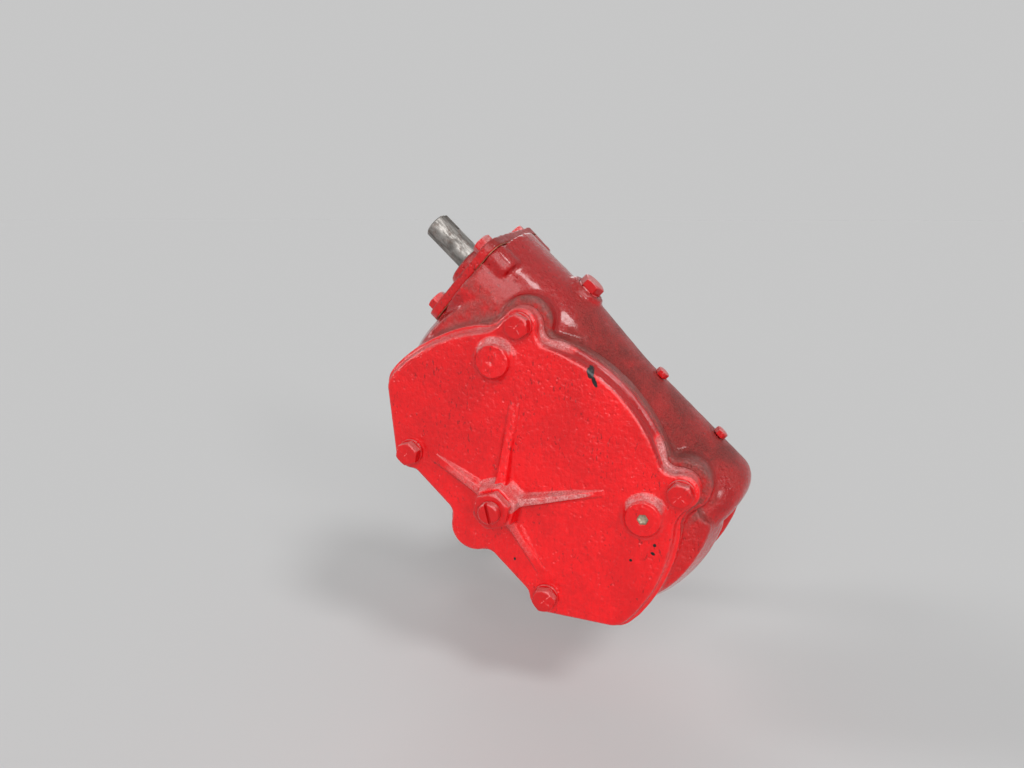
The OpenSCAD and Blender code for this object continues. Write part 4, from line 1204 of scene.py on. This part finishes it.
# %% Level plug
PLUG_R, PLUG_TURN, PLUG_COLUMNS = 6.88, 12, 120
mouth = hexagon_radius(round_angles(PLUG_COLUMNS), 3.175, 60)
face_rows = [(PLUG_R, 3.0), (PLUG_R, -5.98)]
face_rows += [(PLUG_R + f * (mouth + 0.45 - PLUG_R), -5.99) for f in (0.3, 0.6, 0.9, 1.0)]
face_rows += [(mouth + 0.12, -5.86), (mouth, -5.6), (mouth, -5.0)]
socket_rows = [(mouth + 0.25, -5.0), (mouth - 0.02, -5.3), (mouth - 0.02, -4.1), (mouth * 0.85, -3.6),
               (mouth * 0.4, -3.3), (mouth * 0.02, -3.2), (mouth * 0.4, 1.4), (mouth + 0.25, 1.4)]
for name, rows, slot, mat in (("level_plug_face", face_rows, "cover_enamel", plug_paint),
                              ("level_plug_socket", socket_rows, "bare_steel", plug_steel)):
    rings = turn_y(revolve(rows, PLUG_COLUMNS), PLUG_TURN) + [PLUG_BOSS[0], 0, PLUG_BOSS[1]]
    sharpen(ring_piece(name, rings, "level_plug", mat, loop=True), 50)

# %% [markdown]
# ## Fasteners on the tube
# The same head surface makes the end cover's bolts, the filler plug and the two small passage plugs. They point other
# ways, so their rings are drawn along y and then turned to their own axis.

# %% Fasteners on the tube
CAM_Y, CAM_T, END_BOLT_S, END_BOLT_OFF = 60.0, 82.4, -126.6, 38
ALONG_TUBE, UPWARD = (-1, 0, 0), (0, 0, 1)


def along(points, axis, at, twist=0.0):
    """Rings drawn with their top towards -y, turned so that the top points along an upright axis, and moved."""
    up = np.array(axis, float)
    side = np.cross(up, [0, 1, 0])
    other = np.cross(up, side)
    c, k = toward(math.radians(twist))
    side, other = side * c + other * k, other * c - side * k
    return points[..., :1] * side - points[..., 1:2] * up + points[..., 2:] * other + np.array(at, float)


for i in range(4):
    g = math.radians(8 + 45 + 90 * i)
    at = (END_BOLT_S, CAM_Y - END_BOLT_OFF * math.sin(g), CAM_T + END_BOLT_OFF * math.cos(g))
    rings = bolt_rings(flat=6.35, high=5.5, chamfer=5.9, r=3.95, length=17.0, seed=10 + i)
    ring_piece(f"end_bolt_head_{i + 1}", along(rings, ALONG_TUBE, at, 8 + 30 * i), f"end_bolt_{i + 1}",
               bolt_paint)
FILLER, PASSAGE = (7.5, 6.0, 7.0, 7.9, 9.0), (4.0, 4.0, 3.75, 2.95, 6.0)
for name, plug, sizes, at_s, at_t, seed in (("filler_plug_painted", "filler_plug", FILLER, -62, 128.4, 20),
                                            ("passage_plug_painted_1", "passage_plug_1", PASSAGE, 12.9, 121.4, 30),
                                            ("passage_plug_painted_2", "passage_plug_2", PASSAGE, 67.8, 121.4, 31)):
    rings = along(bolt_rings(*sizes, seed), UPWARD, (at_s, CAM_Y, at_t))
    ring_piece(name, rings, plug, bolt_paint)

# %% [markdown]
# ## Carried-over solids
# The shims, the seals, the shafts and the arm's washer and nut keep their CAD shape, which is already that of the
# real pieces, and get their finish. Flat and round faces of the shafts show the lathe's marks.

# %% Finishes on the CAD solids
for mat, names in ((shim_brass, ["end_shims"]), (seal_rubber, ["input_seal", "lever_seal"]),
                   (turned_steel, ["input_shaft", "lever_shaft", "arm_washer", "arm_nut"])):
    for name in names:
        dress(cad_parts[name], mat)

# %% [markdown]
# ## Floor and light
# The box stands over a plain pale floor, just deeper than the arm's end ever swings, in soft studio light. The bright
# lines on the gloss tell where light came from: most of it from a broad panel in front, but the sharp lines from a
# bright window high on the right, a weaker one on the left and a small low one on the right, and a little light from
# behind. A lamp near the box would light a spot of the floor only, so all five are distant ones. They light the floor
# evenly, and the camera and reflections see the world at just that brightness, so no horizon shows.

# %% Floor
PALE, FLOOR_HALF = 0.60, 60
arm_points = read_points(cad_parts["drop_arm"].data)
z = -np.hypot(arm_points[:, 0], arm_points[:, 2]).max() - 0.0005
floor_points = [(FLOOR_HALF * i, FLOOR_HALF * k, z) for i, k in corners]
floor = add_object("floor", new_mesh("floor", floor_points, [(0, 1, 2, 3)]))
pale_mat, _, pale = new_material("pale_floor")
feed(pale, {"Base Color": (PALE, PALE, PALE), "Roughness": 1.0, "Specular IOR Level": 0.0})
floor.data.materials.append(pale_mat)
print("the floor's height in mm:", round(1000 * z, 1))

# %% Lamps
# Each lamp: name, direction from the box, apparent size in degrees, level
LAMPS = [("front_panel", (0.20, -0.90, 0.38), 50, 0.64), ("right_window", (0.56, -0.37, 0.73), 13, 0.27),
         ("left_window", (-0.88, -0.18, 0.43), 14, 0.20), ("low_window", (0.69, -0.65, 0.30), 10, 0.12),
         ("behind", (-0.30, 0.80, 0.50), 40, 0.20)]


def lamp(name, way, degrees, level):
    """A soft distant lamp seen from the box in a direction and of an apparent size. A white surface that faces it
    becomes as bright as its level, since a lamp's irradiance is pi times that. Returns its level on the floor."""
    data = bpy.data.lights.new(name, "SUN")
    data.energy, data.angle = level * math.pi, math.radians(degrees)
    ob = add_object(name, data)
    ob.rotation_mode = "QUATERNION"
    ob.rotation_quaternion = Vector(way).to_track_quat("Z", "Y")
    ob.location = Vector(way)
    return Vector(way).normalized().z * level


lamps_on_floor = sum(lamp(*row) for row in LAMPS)
print("lamps:", [row[0] for row in LAMPS])

# %% World
AMBIENT = 0.28
seen_floor = PALE * (AMBIENT + lamps_on_floor)
scene.world = bpy.data.worlds.new("studio")
scene.world.use_nodes = True
t = scene.world.node_tree
rays = node(t, "ShaderNodeLightPath").outputs
glossy, clear, direct = (Value(rays[f"Is {kind} Ray"]) for kind in ("Glossy", "Transmission", "Camera"))
seen = most(direct, most(glossy, clear))
feed(t.nodes["Background"], {"Strength": AMBIENT + seen * (seen_floor - AMBIENT), "Color": (1, 1, 1)})
print("the floor's brightness:", round(seen_floor, 3))
